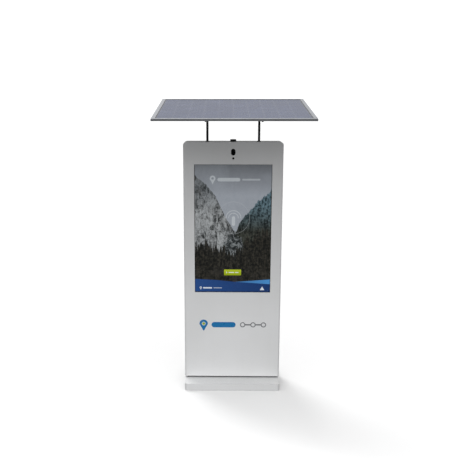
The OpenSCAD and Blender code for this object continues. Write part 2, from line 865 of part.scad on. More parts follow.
module battery_packs() {
    color("darkslategray") both_sides() translate([batt_x, 0, 0]) {
        block([-batt_w / 2, plate_face, batt_z], [batt_w / 2, plate_face + batt_d, batt_z + batt_h]);
        block([-batt_w / 2 + 3, plate_face + 3, batt_z + batt_h - 0.1],
            [batt_w / 2 - 3, plate_face + batt_d - 3, batt_z + batt_h + 6]);
        for (x = [-70, 70]) rod_z(x, plate_face + batt_d / 2, 6, batt_z + batt_h + 5.9, batt_z + batt_h + 18);
    }
}

module battery_clamp() {
    x1 = batt_x + batt_w / 2 + 8;
    y1 = plate_face + batt_d;
    color("silver") {
        block([-x1, y1, 190], [x1, y1 + 2.4, 214]);
        for (x = [-x1 + 3, 0, x1 - 3]) rod_y(x, 202, 2.5, plate_face, y1 + 5);
        for (x = [-x1 + 3, 0, x1 - 3]) translate([x, y1 + 2.3, 202]) rotate([-90, 0, 0])
            cylinder(r = 5, h = 4, $fn = 6);
    }
}

module charge_controller() {
    color("steelblue") {
        block([-230, plate_face, 320], [-60, plate_face + 34, 440]);
        for (i = [0 : 12]) translate([-224 + i * 13, 0, 0])
            block([0, plate_face + 33.9, 330], [2.5, plate_face + 50, 430]);
    }
}

module media_player() {
    color("dimgray") difference() {
        union() {
            block([30, plate_face, 320], [220, plate_face + 30, 450]);
            for (i = [0 : 13]) translate([36 + i * 13, 0, 0])
                block([0, plate_face + 29.9, 326], [3, plate_face + 42, 444]);
        }
        rod_z(60, plate_face + 15, 6.2, 440, 452);
    }
}

module player_button() {
    color("white") rod_z(60, plate_face + 15, 6, 444, 452.5);
}

module power_supply() {
    color("silver") block([-230, plate_face, 540], [-20, plate_face + 34, 630]);
}

module cellular_router() {
    color("darkslategray") {
        block([60, plate_face, 560], [180, plate_face + 28, 630]);
        for (x = [90, 120, 150]) rod_z(x, plate_face + 14, 3.5, 548, 560.1);
    }
}

module din_rail() {
    color("silver") difference() {
        block([-230, plate_face, switch_z - 17.5], [60, plate_face + 7.5, switch_z + 17.5]);
        block([-231, plate_face + 1, switch_z - 12.5], [61, plate_face + 8, switch_z + 12.5]);
        for (s = [-1, 1]) translate([0, 0, switch_z + s * 15])
            block([-231, plate_face - 1, s > 0 ? -2.5 : -2.6], [61, plate_face + 6.5, s > 0 ? 2.6 : 2.5]);
    }
}

// Two-pole breaker: two modules side by side, with one tied pair of levers
module breaker_body() {
    y0 = plate_face + 7.5;
    x0 = breaker_x - breaker_w;
    x1 = breaker_x + breaker_w;
    color("white") difference() {
        union() {
            block([x0, y0, switch_z - 42], [x1, y0 + 38, switch_z + 42]);
            block([x0, y0 + 37.9, switch_z - 22], [x1, y0 + 55, switch_z + 22]);
        }
        for (s = [-0.5, 0.5]) translate([breaker_x + s * breaker_w, 0, switch_z])
            block([-4.5, y0 + 40, -12], [4.5, y0 + 56, 12]);
    }
}

module breaker_levers() {
    color("black") {
        for (s = [-0.5, 0.5]) translate([breaker_x + s * breaker_w, 0, 0]) {
            rod_x(lever_y, switch_z, 5.5, -4, 4);
            translate([0, lever_y, switch_z]) rotate([-35, 0, 0]) block([-4, 0, -2.5], [4, 16, 2.5]);
        }
        translate([breaker_x, lever_y, switch_z]) rotate([-35, 0, 0])
            block([-breaker_w / 2, 11, -2.5], [breaker_w / 2, 16, 2.5]);
    }
}

module terminal_blocks() {
    y0 = plate_face + 7.5;
    color("gray") for (i = [0 : 11]) translate([-150 + i * 8.2, 0, 0])
        block([0, y0, switch_z - 28], [8, y0 + 36, switch_z + 28]);
}

module isolator_body() {
    color("gray") difference() {
        block([110, plate_face, switch_z - 40], [190, plate_face + 45, switch_z + 20]);
        rod_y(150, switch_z - 10, 5.2, plate_face + 20, plate_face + 46);
    }
}

module isolator_knob() {
    y0 = plate_face + 45.5;
    color("red") {
        rod_y(150, switch_z - 10, 5, plate_face + 25, y0 + 1);
        rod_y(150, switch_z - 10, 20, y0, y0 + 6);
        block([145, y0 + 5.9, switch_z - 28], [155, y0 + 20, switch_z + 8]);
    }
}

// Leads clipped to the equipment plate, each a run of straight lengths with ball corners
module lead(points, r) {
    for (i = [0 : len(points) - 2]) {
        a = points[i];
        b = points[i + 1];
        d = b - a;
        l = norm(d);
        translate(a) rotate([0, acos(d[2] / l), atan2(d[1], d[0])]) cylinder(r = r, h = l, $fn = 16);
        if (i < len(points) - 2) translate(b) sphere(r = r, $fn = 16);
    }
}

module wiring_harness() {
    y = plate_face + 20;
    yb = plate_face + batt_d / 2;
    zb = batt_z + batt_h + 18;
    yd = plate_face + 38;
    color("black") {
        // battery link, and the pair up to the charge controller
        lead([[-38, yb, zb], [-38, yb, zb + 9], [38, yb, zb + 9], [38, yb, zb]], 4);
        lead([[-178, yb, zb], [-178, yb, zb + 13], [-178, y, zb + 13], [-178, y, 320]], 4);
        lead([[178, yb, zb], [178, yb, zb + 15], [178, y, zb + 15], [-100, y, zb + 15], [-100, y, 320]], 4);
        // controller to terminals, terminals and breaker to the power supply
        for (x = [-140, -120, -100, -80]) lead([[x, y, 440], [x, y, switch_z - 28]], 2.5);
        for (x = [-110, -90]) lead([[x, y, switch_z + 28], [x, y, 540]], 2.5);
        // supply from the gland, under the batteries and up to the isolator
        lead([[0, 0, body_z0 + sheet + 10], [0, 0, body_z0 + sheet + 15], [240, 0, body_z0 + sheet + 15],
            [240, 0, 480], [190, 0, 480]], 5);
        // network lead from player to router
        lead([[220, 9, 380], [230, 9, 380], [230, 9, 596], [180, 9, 596]], 2.5);
        // aerial lead from router to the roof
        lead([[120, -2, 548], [120, -2, 535], [262, -2, 535], [262, yd, 535], [262, yd, roof_z - 22],
            [0, yd, roof_z - 22], [0, 0, roof_z - 22], [0, 0, body_z1 - 16]], 2.5);
        // camera lead down to the display control box
        lead([[14, camera_back, camera_z], [14, -32, camera_z], [14, -32, 1622], [14, yd, 1622],
            [14, yd, control_z + 90], [14, -4, control_z + 90], [14, -4, control_z + 75]], 2.5);
        // display supply
        lead([[-60, -4, control_z - 75], [-60, -4, control_z - 90], [-60, yd, control_z - 90], [-60, yd, 636], [-60, 4, 636],
            [-60, 4, 630]], 3);
    }
}

// ---- nodes ---------------------------------------------------------------------------------

ground_plate();
plinth_frame();
base_cover_front();
base_cover_rear();
cover_screws();
cabinet_bolts();
cable_gland();
cabinet_shell();
front_fascia();
touch_glass();
glass_gasket();
glass_clamp_frame();
display_module();
display_bars();
camera_window();
camera_module();
sensor_window();
chassis_rails();
chassis_beams();
support_posts();
post_seals();
post_collars();
post_heads();
pivot_bolts();
antenna_dome();
panel_frame();
solar_laminate();
panel_junction_box();
panel_leads();
panel_rails();
tilt_brackets();
panel_bolts();
rear_door();
door_seal();
hinge_frame_leaves();
hinge_door_leaves();
hinge_pins();
lock_housings();
lock_cam_upper();
lock_cam_lower();
fan_housings();
fan_rotor_left();
fan_rotor_right();
fan_filters();
equipment_plate();
battery_tray();
battery_clamp();
battery_packs();
charge_controller();
media_player();
player_button();
power_supply();
cellular_router();
din_rail();
breaker_body();
breaker_levers();
terminal_blocks();
isolator_body();
isolator_knob();
wiring_harness();
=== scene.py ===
"""Looks of a solar-roofed outdoor pay station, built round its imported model.

The cabinet's sheet metal, the touch screen, the solar roof and the equipment behind the rear door
each have a class that builds and dresses them. Sizes are in metres, in the frame of the model: the
screen faces -Y, X runs to the right of somebody who faces it, and Z is up from the floor.
"""

import logging
import math
from dataclasses import dataclass
from enum import Enum
from typing import Callable, Sequence

import bmesh
import bpy
from mathutils import Matrix, Vector


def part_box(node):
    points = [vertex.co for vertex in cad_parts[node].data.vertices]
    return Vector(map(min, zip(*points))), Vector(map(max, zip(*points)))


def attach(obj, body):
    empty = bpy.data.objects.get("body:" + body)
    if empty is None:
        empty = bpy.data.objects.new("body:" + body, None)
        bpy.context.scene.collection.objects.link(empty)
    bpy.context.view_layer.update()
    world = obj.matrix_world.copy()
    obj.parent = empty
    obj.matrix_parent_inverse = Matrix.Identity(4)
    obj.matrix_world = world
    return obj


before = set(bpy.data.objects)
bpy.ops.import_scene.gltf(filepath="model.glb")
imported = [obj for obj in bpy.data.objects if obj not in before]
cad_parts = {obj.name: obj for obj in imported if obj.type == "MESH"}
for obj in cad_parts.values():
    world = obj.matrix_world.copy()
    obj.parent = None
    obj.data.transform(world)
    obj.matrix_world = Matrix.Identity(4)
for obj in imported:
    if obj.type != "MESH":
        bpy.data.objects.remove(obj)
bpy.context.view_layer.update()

LOG = logging.getLogger("pay_station")
Colour = tuple[float, float, float]
Point = tuple[float, float, float]
Line = tuple[tuple[float, float], ...]
JOIN_GAP = 0.00001
DOUBLE_GAP = 0.000002
FLAT_ANGLE = math.radians(0.6)
ARRIS_ANGLE = math.radians(36.0)
FLATS_WEIGHT = 60


# ---- node building ---------------------------------------------------------------------------


def srgb(red: int, green: int, blue: int) -> Colour:
    """Turns an 8-bit display colour into linear values.

    Args:
        red: red, 0 to 255.
        green: green, 0 to 255.
        blue: blue, 0 to 255.

    Returns:
        The linear colour.
    """
    def linear(value: int) -> float:
        """One channel."""
        v = value / 255.0
        return v / 12.92 if v <= 0.04045 else ((v + 0.055) / 1.055) ** 2.4
    return linear(red), linear(green), linear(blue)


class Graph:
    """Short calls for building one node tree."""

    def __init__(self, tree: bpy.types.NodeTree) -> None:
        """Args: tree is the tree to add nodes to."""
        self.tree = tree

    def node(self, kind: str, inputs: dict | None = None, **settings) -> bpy.types.Node:
        """Adds a node.

        Args:
            kind: the node's type name.
            inputs: values or sockets for its inputs, by name or index.
            settings: attributes to set on it.

        Returns:
            The node.
        """
        made = self.tree.nodes.new(kind)
        for name, value in settings.items():
            setattr(made, name, value)
        for key, value in (inputs or {}).items():
            self.feed(made.inputs[key], value)
        return made

    def feed(self, socket: bpy.types.NodeSocket, value) -> None:
        """Links a socket or sets a constant.

        Args:
            socket: the input to fill.
            value: an output socket, a Value, a number or a colour.
        """
        if isinstance(value, Value):
            value = value.out
        if isinstance(value, bpy.types.NodeSocket):
            self.tree.links.new(value, socket)
        elif socket.type == "RGBA" and not isinstance(value, (int, float)):
            socket.default_value = (*value[:3], 1.0)
        else:
            socket.default_value = value

    def fill(self, node: bpy.types.Node, **values) -> None:
        """Fills inputs of a node by name, with underscores for spaces."""
        for name, value in values.items():
            self.feed(node.inputs[name.replace("_", " ")], value)

    def maths(self, operation: str, *values) -> "Value":
        """A Math node's result, from its inputs in order."""
        return Value(self, self.node("ShaderNodeMath", dict(enumerate(values)), operation=operation).outputs[0])

    def place(self, scale: Sequence[float] = (1, 1, 1), turn: Sequence[float] = (0, 0, 0),
              shift: Sequence[float] = (0, 0, 0)) -> bpy.types.NodeSocket:
        """Object coordinates, moved, turned and scaled.

        Args:
            scale: scale along each axis.
            turn: turn about each axis, in radians.
            shift: shift along each axis, in metres.

        Returns:
            The vector.
        """
        where = self.node("ShaderNodeTexCoord").outputs["Object"]
        return self.node("ShaderNodeMapping", {"Vector": where, "Location": shift, "Rotation": turn,
                                               "Scale": scale}).outputs[0]

    def axes(self, vector: bpy.types.NodeSocket) -> tuple["Value", "Value", "Value"]:
        """Splits a vector into its three values."""
        split = self.node("ShaderNodeSeparateXYZ", {0: vector})
        return tuple(Value(self, out) for out in split.outputs)

    def noise(self, vector, scale: float, detail: float = 2.0, roughness: float = 0.5,
              distortion: float = 0.0) -> "Value":
        """Noise, 0 to 1, about 0.5 in the middle."""
        made = self.node("ShaderNodeTexNoise", {"Vector": vector, "Scale": scale, "Detail": detail,
                                                "Roughness": roughness, "Distortion": distortion})
        return Value(self, made.outputs[0])

    def mix(self, amount, first, second) -> bpy.types.NodeSocket:
        """Blends two colours.

        Args:
            amount: 0 for the first, 1 for the second.
            first: a colour.
            second: a colour.

        Returns:
            The blended colour.
        """
        made = self.node("ShaderNodeMix", data_type="RGBA")
        self.feed(made.inputs[0], amount)
        self.feed(made.inputs[6], first)
        self.feed(made.inputs[7], second)
        return made.outputs[2]

    def bump(self, height, depth: float) -> bpy.types.NodeSocket:
        """A Bump node's normal, depth in metres."""
        return self.node("ShaderNodeBump", {"Height": height, "Distance": depth, "Strength": 1.0}).outputs[0]


@dataclass(frozen=True)
class Value:
    """A number that changes over a surface, which can be worked with like a number."""

    graph: Graph
    out: bpy.types.NodeSocket

    def __add__(self, other) -> "Value":
        """Sum."""
        return self.graph.maths("ADD", self, other)

    def __sub__(self, other) -> "Value":
        """Difference."""
        return self.graph.maths("SUBTRACT", self, other)

    def __rsub__(self, other) -> "Value":
        """Difference from a number."""
        return self.graph.maths("SUBTRACT", other, self)

    def __mul__(self, other) -> "Value":
        """Product."""
        return self.graph.maths("MULTIPLY", self, other)

    def __abs__(self) -> "Value":
        """Size without sign."""
        return self.graph.maths("ABSOLUTE", self)

    def ramp(self, low: float, high: float, to_low: float = 0.0, to_high: float = 1.0) -> "Value":
        """Maps low..high to to_low..to_high, smoothly, and holds it outside."""
        made = self.graph.node("ShaderNodeMapRange", {0: self, 1: low, 2: high, 3: to_low, 4: to_high},
                               interpolation_type="SMOOTHSTEP")
        return Value(self.graph, made.outputs[0])

    def line(self, low: float, high: float, to_low: float = 0.0, to_high: float = 1.0) -> "Value":
        """Maps low..high to to_low..to_high in a straight line, and holds it outside."""
        made = self.graph.node("ShaderNodeMapRange", {0: self, 1: low, 2: high, 3: to_low, 4: to_high})
        return Value(self.graph, made.outputs[0])

    def both(self, other) -> "Value":
        """The smaller of the two: where both masks are on."""
        return self.graph.maths("MINIMUM", self, other)

    def either(self, other) -> "Value":
        """The larger of the two: where one of the masks is on."""
        return self.graph.maths("MAXIMUM", self, other)

    def flip(self) -> "Value":
        """1 minus the mask."""
        return self.graph.maths("SUBTRACT", 1.0, self)

    def near(self, centre: float, half: float, soft: float) -> "Value":
        """A mask that is 1 within half of centre and falls to 0 over soft."""
        return abs(self - centre).ramp(half, half + soft, 1.0, 0.0)


class Effect:
    """Shader node groups that several finishes share, each built once."""

    _built: dict[str, bpy.types.NodeTree] = {}

    @classmethod
    def _group(cls, name: str, inputs: dict[str, float],
               build: Callable[[Graph, dict[str, "Value"]], dict[str, "Value"]]) -> bpy.types.NodeTree:
        """Builds a group the first time it is asked for.

        Args:
            name: the group's name.
            inputs: its number inputs and their defaults.
            build: makes the nodes, from the graph and the inputs, and returns the outputs.

        Returns:
            The group's tree.
        """
        if name not in cls._built:
            tree = bpy.data.node_groups.new(name, "ShaderNodeTree")
            for label, default in inputs.items():
                socket = tree.interface.new_socket(label, in_out="INPUT", socket_type="NodeSocketFloat")
                socket.default_value = default
            graph = Graph(tree)
            entry = graph.node("NodeGroupInput")
            outputs = build(graph, {label: Value(graph, entry.outputs[label]) for label in inputs})
            for label in outputs:
                tree.interface.new_socket(label, in_out="OUTPUT", socket_type="NodeSocketFloat")
            graph.node("NodeGroupOutput", outputs)
            cls._built[name] = tree
        return cls._built[name]

    @classmethod
    def place(cls, graph: Graph, tree: bpy.types.NodeTree, **values) -> dict[str, Value]:
        """Puts a group in a material.

        Args:
            graph: the material's graph.
            tree: the group.
            values: its inputs, with underscores for spaces.

        Returns:
            Its outputs by name.
        """
        made = graph.node("ShaderNodeGroup", node_tree=tree)
        graph.fill(made, **values)
        return {out.name: Value(graph, out) for out in made.outputs}

    @classmethod
    def coat(cls) -> bpy.types.NodeTree:
        """Powder coat: fine orange peel, broad cloudiness, dust on upward faces, rub near the floor."""
        def build(graph: Graph, inputs: dict[str, Value]) -> dict[str, Value]:
            """Makes the nodes."""
            where = graph.place()
            fine = graph.noise(where, 900.0, 2.0)
            coarse = graph.noise(where, 240.0, 1.0)
            peel = fine * 0.35 + coarse * 0.65
            cloud = graph.noise(where, 3.2, 3.0)
            normal = graph.node("ShaderNodeNewGeometry").outputs["Normal"]
            up = graph.axes(normal)[2].ramp(0.55, 1.0)
            specks = graph.noise(where, 160.0, 3.0, 0.7).ramp(0.42, 0.75)
            low = graph.axes(where)[2].ramp(0.0, 0.35, 1.0, 0.0)
            streak = graph.noise(graph.place((30.0, 30.0, 1.2)), 1.0, 3.0).ramp(0.5, 0.8)
            dust = (up * specks + low * specks * 0.45) * inputs["Dust"]
            return {"Peel": peel, "Cloud": cloud, "Dust": dust, "Streak": streak * inputs["Dust"]}
        return cls._group("powder_coat_effect", {"Dust": 0.3}, build)

    @classmethod
    def drawn(cls) -> bpy.types.NodeTree:
        """Drawn or brushed metal: long fine lines along one axis, with patches of tarnish."""
        def build(graph: Graph, inputs: dict[str, Value]) -> dict[str, Value]:
            """Makes the nodes."""
            where = graph.place()
            x, y, z = graph.axes(where)
            stretched = graph.node("ShaderNodeCombineXYZ", {
                0: x * inputs["Along X"], 1: y * inputs["Along Y"], 2: z * inputs["Along Z"]}).outputs[0]
            return {"Lines": graph.noise(stretched, 1.0, 3.0, 0.65), "Patches": graph.noise(where, 14.0, 4.0, 0.6)}
        return cls._group("drawn_metal_effect", dict.fromkeys(("Along X", "Along Y", "Along Z"), 900.0), build)

    @classmethod
    def grain(cls) -> bpy.types.NodeTree:
        """Moulded grain: small cells for plastics and rubber, and faint handling marks."""
        def build(graph: Graph, inputs: dict[str, Value]) -> dict[str, Value]:
            """Makes the nodes."""
            where = graph.place()
            cells = graph.node("ShaderNodeTexVoronoi", {"Vector": where, "Scale": inputs["Fineness"]},
                               feature="SMOOTH_F1").outputs["Distance"]
            return {"Cells": Value(graph, cells), "Marks": graph.noise(where, 22.0, 5.0, 0.7, 0.6)}
        return cls._group("moulded_grain_effect", {"Fineness": 1400.0}, build)


def new_material(name: str) -> tuple[bpy.types.Material, Graph, bpy.types.Node]:
    """Starts a material with a Principled BSDF.

    Args:
        name: the material's name.

    Returns:
        The material, its graph and the shader node.
    """
    material = bpy.data.materials.new(name)
    material.use_nodes = True
    material.node_tree.nodes.clear()
    graph = Graph(material.node_tree)
    shader = graph.node("ShaderNodeBsdfPrincipled")
    output = graph.node("ShaderNodeOutputMaterial")
    graph.feed(output.inputs["Surface"], shader.outputs[0])
    return material, graph, shader


# ---- finishes --------------------------------------------------------------------------------


@dataclass(frozen=True)
class PowderCoat:
    """Baked powder coat on sheet metal."""

    name: str
    colour: Colour
    dirt: Colour
    roughness: float = 0.38
    peel: float = 0.000028
    dust: float = 0.22

    def build(self) -> bpy.types.Material:
        """Returns: the material."""
        material, graph, shader = new_material(self.name)
        effect = Effect.place(graph, Effect.coat(), Dust=self.dust)
        tint = graph.mix(effect["Cloud"].ramp(0.35, 0.7, 0.0, 0.08), self.colour, self.dirt)
        tint = graph.mix(effect["Streak"] * 0.10, tint, self.dirt)
        tint = graph.mix(effect["Dust"], tint, self.dirt)
        rough = effect["Cloud"].ramp(0.3, 0.7, self.roughness - 0.04, self.roughness + 0.05) + effect["Dust"] * 0.3
        graph.fill(shader, Base_Color=tint, Roughness=rough, Normal=graph.bump(effect["Peel"], self.peel),
                   Coat_Weight=0.12, Coat_Roughness=0.2)
        return material


class Lay(Enum):
    """Which way the drawn lines of a metal run: scales along X, Y and Z."""

    X = (8.0, 900.0, 900.0)
    Y = (900.0, 8.0, 900.0)
    Z = (900.0, 900.0, 8.0)
    NONE = (260.0, 260.0, 260.0)


@dataclass(frozen=True)
class Metal:
    """Bare, anodised, plated or stainless metal."""

    name: str
    colour: Colour
    tarnish: Colour
    roughness: float = 0.32
    lay: Lay = Lay.NONE
    depth: float = 0.00002
    metallic: float = 1.0

    def build(self) -> bpy.types.Material:
        """Returns: the material."""
        material, graph, shader = new_material(self.name)
        along = dict(zip(("Along_X", "Along_Y", "Along_Z"), self.lay.value))
        effect = Effect.place(graph, Effect.drawn(), **along)
        tint = graph.mix(effect["Patches"].ramp(0.4, 0.75, 0.0, 0.5), self.colour, self.tarnish)
        rough = effect["Lines"].ramp(0.3, 0.7, self.roughness - 0.06, self.roughness + 0.1)
        graph.fill(shader, Base_Color=tint, Roughness=rough + effect["Patches"].ramp(0.5, 0.8, 0.0, 0.08),
                   Normal=graph.bump(effect["Lines"], self.depth), Metallic=self.metallic)
        return material


@dataclass(frozen=True)
class Moulded:
    """Moulded plastic or rubber."""

    name: str
    colour: Colour
    worn: Colour
    roughness: float = 0.5
    fineness: float = 1400.0
    depth: float = 0.00005
    sheen: float = 0.0

    def build(self) -> bpy.types.Material:
        """Returns: the material."""
        material, graph, shader = new_material(self.name)
        effect = Effect.place(graph, Effect.grain(), Fineness=self.fineness)
        tint = graph.mix(effect["Marks"].ramp(0.45, 0.8, 0.0, 0.35), self.colour, self.worn)
        rough = effect["Marks"].ramp(0.35, 0.75, self.roughness + 0.04, self.roughness - 0.08)
        graph.fill(shader, Base_Color=tint, Roughness=rough, Normal=graph.bump(effect["Cells"], self.depth),
                   Sheen_Weight=self.sheen)
        return material


@dataclass(frozen=True)
class DisplayCase:
    """The display module: black mask in front, bare galvanised case behind."""

    front_y: float
    name: str = "display_case_metal"

    def build(self) -> bpy.types.Material:
        """Returns: the material."""
        material, graph, shader = new_material(self.name)
        effect = Effect.place(graph, Effect.drawn(), Along_X=9.0, Along_Y=700.0, Along_Z=700.0)
        spangle = graph.node("ShaderNodeTexVoronoi", {"Vector": graph.place(), "Scale": 70.0}).outputs["Color"]
        behind = graph.axes(graph.place())[1].ramp(self.front_y, self.front_y + 0.001)
        zinc = graph.mix(effect["Patches"].ramp(0.3, 0.8), srgb(150, 154, 158), srgb(128, 131, 134))
        zinc = graph.mix(Value(graph, spangle) * 0.10, zinc, srgb(190, 194, 198))
        graph.fill(shader, Base_Color=graph.mix(behind, srgb(13, 13, 15), zinc), Metallic=behind * 0.85,
                   Roughness=effect["Lines"].ramp(0.3, 0.7, 0.38, 0.52), Normal=graph.bump(effect["Lines"], 0.00002))
        return material


@dataclass(frozen=True)
class StatusLight:
    """A small lit lens."""

    name: str
    colour: Colour
    strength: float = 1.6

    def build(self) -> bpy.types.Material:
        """Returns: the material."""
        material, graph, shader = new_material(self.name)
        glow = graph.noise(graph.place(), 900.0, 1.0).ramp(0.2, 0.8)
        lit = graph.mix(glow, self.colour, [c * 0.8 for c in self.colour])
        graph.fill(shader, Base_Color=self.colour, Emission_Color=lit, Emission_Strength=self.strength,
                   Roughness=0.25)
        return material


@dataclass(frozen=True)
class PlainLabel:
    """A blank equipment label: pale film with a coloured band and a few ruled fields."""

    name: str
    band: Colour
    pitch: float = 0.011

    def build(self) -> bpy.types.Material:
        """Returns: the material."""
        material, graph, shader = new_material(self.name)
        where = graph.place()
        _, _, z = graph.axes(where)
        rule = graph.maths("PINGPONG", z, self.pitch).ramp(0.0004, 0.0008, 1.0, 0.0)
        fibres = graph.noise(where, 400.0, 3.0)
        paper = graph.mix(fibres.ramp(0.3, 0.7, 0.0, 0.2), srgb(216, 217, 214), srgb(198, 199, 196))
        paper = graph.mix(rule * 0.7, paper, self.band)
        graph.fill(shader, Base_Color=paper, Roughness=fibres.ramp(0.3, 0.7, 0.34, 0.48),
                   Normal=graph.bump(fibres, 0.00002))
        return material


@dataclass(frozen=True)
class ClearGlass:
    """Polished toughened glass with faint finger marks."""

    name: str = "toughened_glass"

    def build(self) -> bpy.types.Material:
        """Returns: the material."""
        material, graph, shader = new_material(self.name)
        smears = graph.noise(graph.place((1.0, 1.0, 0.55)), 26.0, 5.0, 0.62, 1.2)
        tint = graph.mix(smears.ramp(0.4, 0.7), (0.97, 0.985, 0.98), (0.93, 0.95, 0.95))
        graph.fill(shader, Base_Color=tint, Roughness=smears.ramp(0.5, 0.8, 0.0, 0.004), IOR=1.45,
                   Transmission_Weight=1.0)
        return material


@dataclass(frozen=True)
class SolarCells:
    """Glass over rows of blue-grey cells, with gaps, fine fingers and wider ribbons between them; the dark margin
    round them is partly painted shade from the frame's lip.
    """

    tilt: float
    pivot_z: float
    offset: float
    half: tuple[float, float]
    count: tuple[int, int]
    back_lift: float
    gap: tuple[float, float] = (0.0014, 0.0022)
    border: tuple[float, float] = (0.001, 0.002)
    ribbons: int = 5
    ribbon: tuple[float, float] = (0.0005, 0.0009)
    finger_pitch: float = 0.0009
    finger: tuple[float, float] = (0.00012, 0.0003)
    backing: float = 0.0006
    silver: Colour = srgb(160, 166, 184)
    name: str = "solar_cells"

    def build(self) -> bpy.types.Material:
        """Returns: the material."""
        material, graph, shader = new_material(self.name)
        turned = graph.place(turn=(-self.tilt, 0.0, 0.0), shift=(0.0, -self.pivot_z * math.sin(self.tilt),
                                                                 -self.pivot_z * math.cos(self.tilt)))
        x, v, lift = graph.axes(turned)
        gaps, border_and_lip_shade, numbers = [], [], []
        for value, middle, half, count in zip((x, v), (0.0, self.offset), self.half, self.count):
            pitch = 2 * half / count
            inside = graph.maths("WRAP", value - (middle - half), pitch, 0.0)
            gaps.append(abs(inside - pitch / 2).ramp(pitch / 2 - self.gap[1], pitch / 2 - self.gap[0]))
            border_and_lip_shade.append(abs(value - middle).ramp(half + self.border[0], half + self.border[1]))
            numbers.append(graph.maths("FLOOR", (value - (middle - half)) * (1 / pitch)))
        cell = graph.noise(graph.node("ShaderNodeCombineXYZ", dict(enumerate(numbers))).outputs[0], 7.3, 0.0)
        step = self.half[0] / self.count[0] / self.ribbons
        ribbon = graph.maths("PINGPONG", x + self.half[0] - step, step).ramp(*self.ribbon, 1.0, 0.0)
        finger = graph.maths("PINGPONG", v, self.finger_pitch).ramp(*self.finger, 1.0, 0.0)
        dust = graph.noise(turned, 9.0, 5.0, 0.6)
        under = lift.ramp(self.back_lift - self.backing, self.back_lift + self.backing, 1.0, 0.0)
        base = graph.mix(cell, srgb(62, 78, 124), srgb(72, 88, 134))
        # The dark margin outside the cell field is a dark laminate border and also painted shade for the frame lip's
        # shadow on the glass.
        for amount, colour in ((finger * 0.08, srgb(150, 156, 176)), (ribbon * 0.30, self.silver),
                               (gaps[0].either(gaps[1]) * 0.42, self.silver),
                               (border_and_lip_shade[0].either(border_and_lip_shade[1]), srgb(58, 62, 76)),
                               (dust.ramp(0.3, 0.8, 0.04, 0.14), srgb(144, 152, 176)),
                               (under, srgb(214, 216, 216))):
            base = graph.mix(amount, base, colour)
        stipple = graph.noise(turned, 1100.0, 1.0)
        graph.fill(shader, Base_Color=base, Roughness=dust.ramp(0.3, 0.8, 0.16, 0.36),
                   Normal=graph.bump(stipple, 0.00006), Coat_Weight=0.9, Coat_Roughness=0.08)
        return material


class Canvas:
    """The plane of the screen, on which masks are drawn: x across and z up, in metres."""

    def __init__(self, graph: Graph, soft: float) -> None:
        """Args: graph is the material's graph, soft the width of a mask's edge."""
        self.graph, self.soft = graph, soft
        self.where = graph.place()
        self.x, _, self.z = graph.axes(self.where)

    def speckle(self, across: float, up: float, detail: float, roughness: float = 0.5) -> Value:
        """Noise stretched across and up, 0 to 1."""
        return self.graph.noise(self.graph.place((across, across, up)), 1.0, detail, roughness)

    def outline(self, points: Line) -> Value:
        """Height of a line through points given from left to right.

        Args:
            points: corners of the line.

        Returns:
            The line's height at each place across.
        """
        height: Value | None = None
        for (x0, z0), (x1, z1) in zip(points, points[1:]):
            rise = self.x.line(x0, x1, 0.0, z1 - z0)
            height = rise + z0 if height is None else height + rise
        return height

    def below(self, height: Value, soft: float | None = None) -> Value:
        """Mask of everything under a line, with edges as soft as the plane's or as given."""
        edge = self.soft if soft is None else soft
        return (height - self.z).ramp(-edge, edge)

    def reach(self, centre: tuple[float, float]) -> Value:
        """Distance from a point."""
        dx, dz = self.x - centre[0], self.z - centre[1]
        return self.graph.maths("SQRT", dx * dx + dz * dz)

    def block(self, centre: tuple[float, float], half: tuple[float, float], corner: float) -> Value:
        """Mask of a rectangle with rounded corners.

        Args:
            centre: middle of the rectangle.
            half: half its width and height.
            corner: corner radius.

        Returns:
            1 inside, 0 outside.
        """
        out_x = self.graph.maths("MAXIMUM", abs(self.x - centre[0]) - (half[0] - corner), 0.0)
        out_z = self.graph.maths("MAXIMUM", abs(self.z - centre[1]) - (half[1] - corner), 0.0)
        reach = self.graph.maths("SQRT", out_x * out_x + out_z * out_z)
        return reach.ramp(corner - self.soft, corner + self.soft, 1.0, 0.0)

    def bar(self, centre: tuple[float, float], half: tuple[float, float]) -> Value:
        """Mask of a lying bar with round ends."""
        return self.block(centre, half, half[1])

    def pin(self, centre: tuple[float, float], size: float) -> Value:
        """Mask of a map pin: a ring over a point.

        Args:
            centre: middle of the ring.
            size: outer radius of the ring.

        Returns:
            1 inside, 0 outside.
        """
        hole_share, length_share, taper = 0.42, 2.1, 0.47
        reach = self.reach(centre)
        disc = reach.ramp(size - self.soft, size + self.soft, 1.0, 0.0)
        drop = (self.z - (centre[1] - length_share * size)) * taper
        lower_half = (self.z - centre[1]).ramp(-2 * self.soft, 0.0, 1.0, 0.0)
        point = (drop - abs(self.x - centre[0])).ramp(-self.soft, self.soft).both(lower_half)
        hole = reach.ramp(size * hole_share, size * hole_share + self.soft, 1.0, 0.0)
        return disc.either(point).both(hole.flip())


